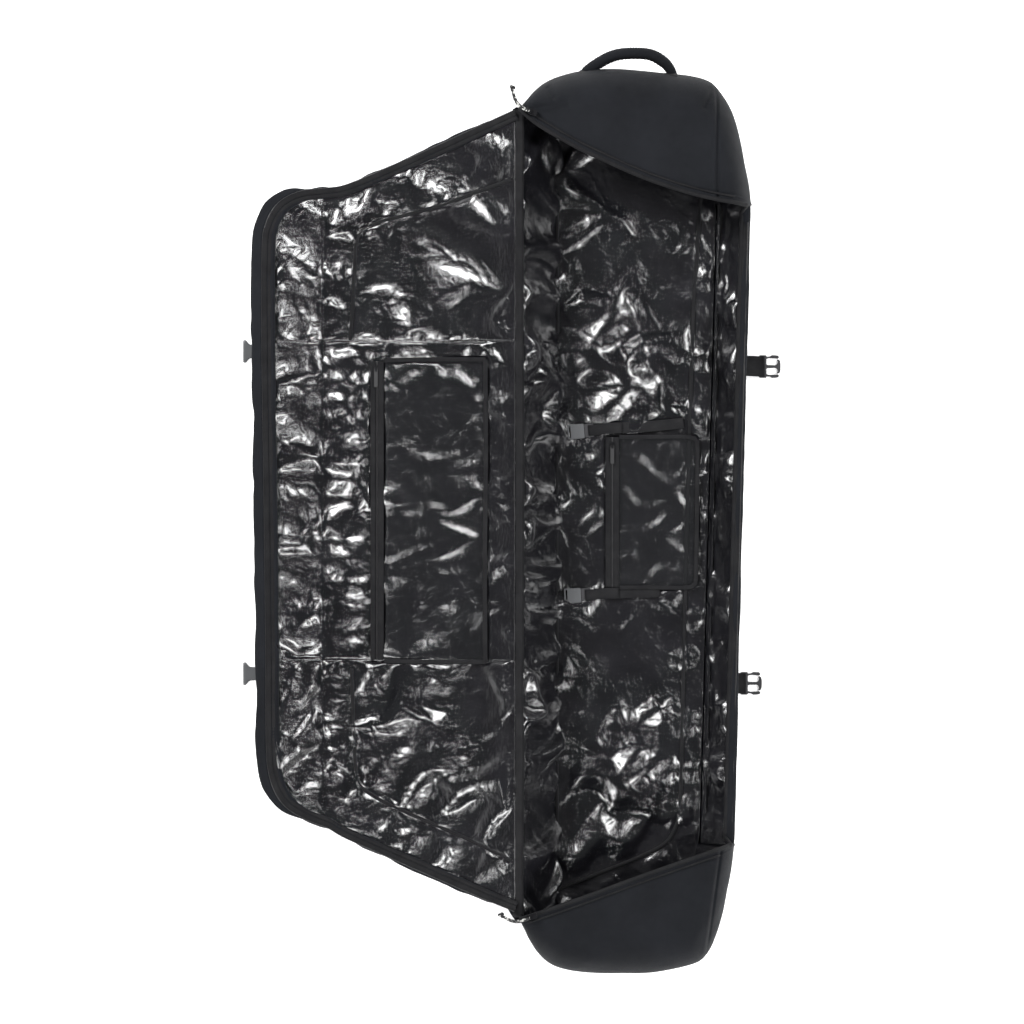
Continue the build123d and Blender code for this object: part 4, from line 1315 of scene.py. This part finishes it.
def make_cords():
    """The main zip's two pulls: cord, second strand and knot."""
    for name, route in (("top", TOP_ROUTE), ("bottom", FOOT_ROUTE)):
        slider = f"{name}_slider"
        piece = place(pull_cord(f"{name}_cord", route), slider, f"{name}_pull_cord")
        centre = sum(plan_box(f"{name}_pull_knot")) / 2
        tied = knot(f"{name}_knot", centre, np.subtract(route[-1], route[-2]), 1.7)
        place(tied, slider, f"{name}_pull_knot")
        strand = place(second_strand(f"{name}_strand", piece), slider)


# ---- CAD pieces that keep their shape -----------------------------------------------
KEPT = {
    "pale": ["upper_strap_female", "lower_strap_female"],
    "plastic": ["upper_strap_male", "lower_strap_male"],
    "lacquer": ["top_main_slider", "bottom_main_slider", "lid_pocket_slider", "base_pocket_slider"],
    "rubber": ["lid_pocket_pull", "base_pocket_pull"],
}


def finish_cad():
    """Give the CAD nodes that stay in view their materials."""
    for mat, names in KEPT.items():
        for name in names:
            obj = bpy.data.objects[name]
            for slot in obj.material_slots:
                slot.material = MATS[mat]


# ---- floor and light ----------------------------------------------------------------
def make_stage():
    data = bpy.data.meshes.new("backdrop")
    size = 14.0
    corners = [(-size, -size, 0), (size, -size, 0), (size, size, 0), (-size, size, 0)]
    data.from_pydata(corners, [], [(0, 1, 2, 3)])
    obj = bpy.data.objects.new("backdrop", data)
    bpy.context.collection.objects.link(obj)
    pale = Mat("backdrop", (0.92, 0.92, 0.92), 0.9, Emission_Color=(1, 1, 1, 1), Emission_Strength=0.55)
    data.materials.append(pale.m)


def soft_box(name, where, size, power):
    """A rectangular lamp that looks at the bag's middle."""
    data = bpy.data.lights.new(name, "AREA")
    data.shape = "RECTANGLE"
    data.size, data.size_y = size
    data.energy = power
    obj = bpy.data.objects.new(name, data)
    obj.location = where
    obj.rotation_euler = (-Vector(where)).to_track_quat("-Z", "Y").to_euler()
    bpy.context.collection.objects.link(obj)


def make_light():
    world = bpy.data.worlds.new("studio")
    bpy.context.scene.world = world
    world.use_nodes = True
    background = world.node_tree.nodes["Background"]
    background.inputs["Color"].default_value = (1, 1, 1, 1)
    background.inputs["Strength"].default_value = 0.10
    bpy.context.scene.view_settings.view_transform = "Standard"
    soft_box("left_top_box", (-2.2, 2.5, 2.7), (0.8, 1.6), 200)
    soft_box("left_foot_box", (-2.3, -2.3, 2.9), (0.7, 1.4), 120)
    soft_box("right_top_box", (2.6, 1.5, 3.0), (0.7, 1.6), 130)
    soft_box("right_foot_box", (2.2, -2.5, 2.6), (0.7, 1.4), 110)


make_cords()
make_lid()
make_tub()
make_pockets()
make_straps()
for which in ("upper", "lower"):
    male_buckle(which)
    female_buckle(which)
make_handle()
finish_cad()
make_stage()
make_light()
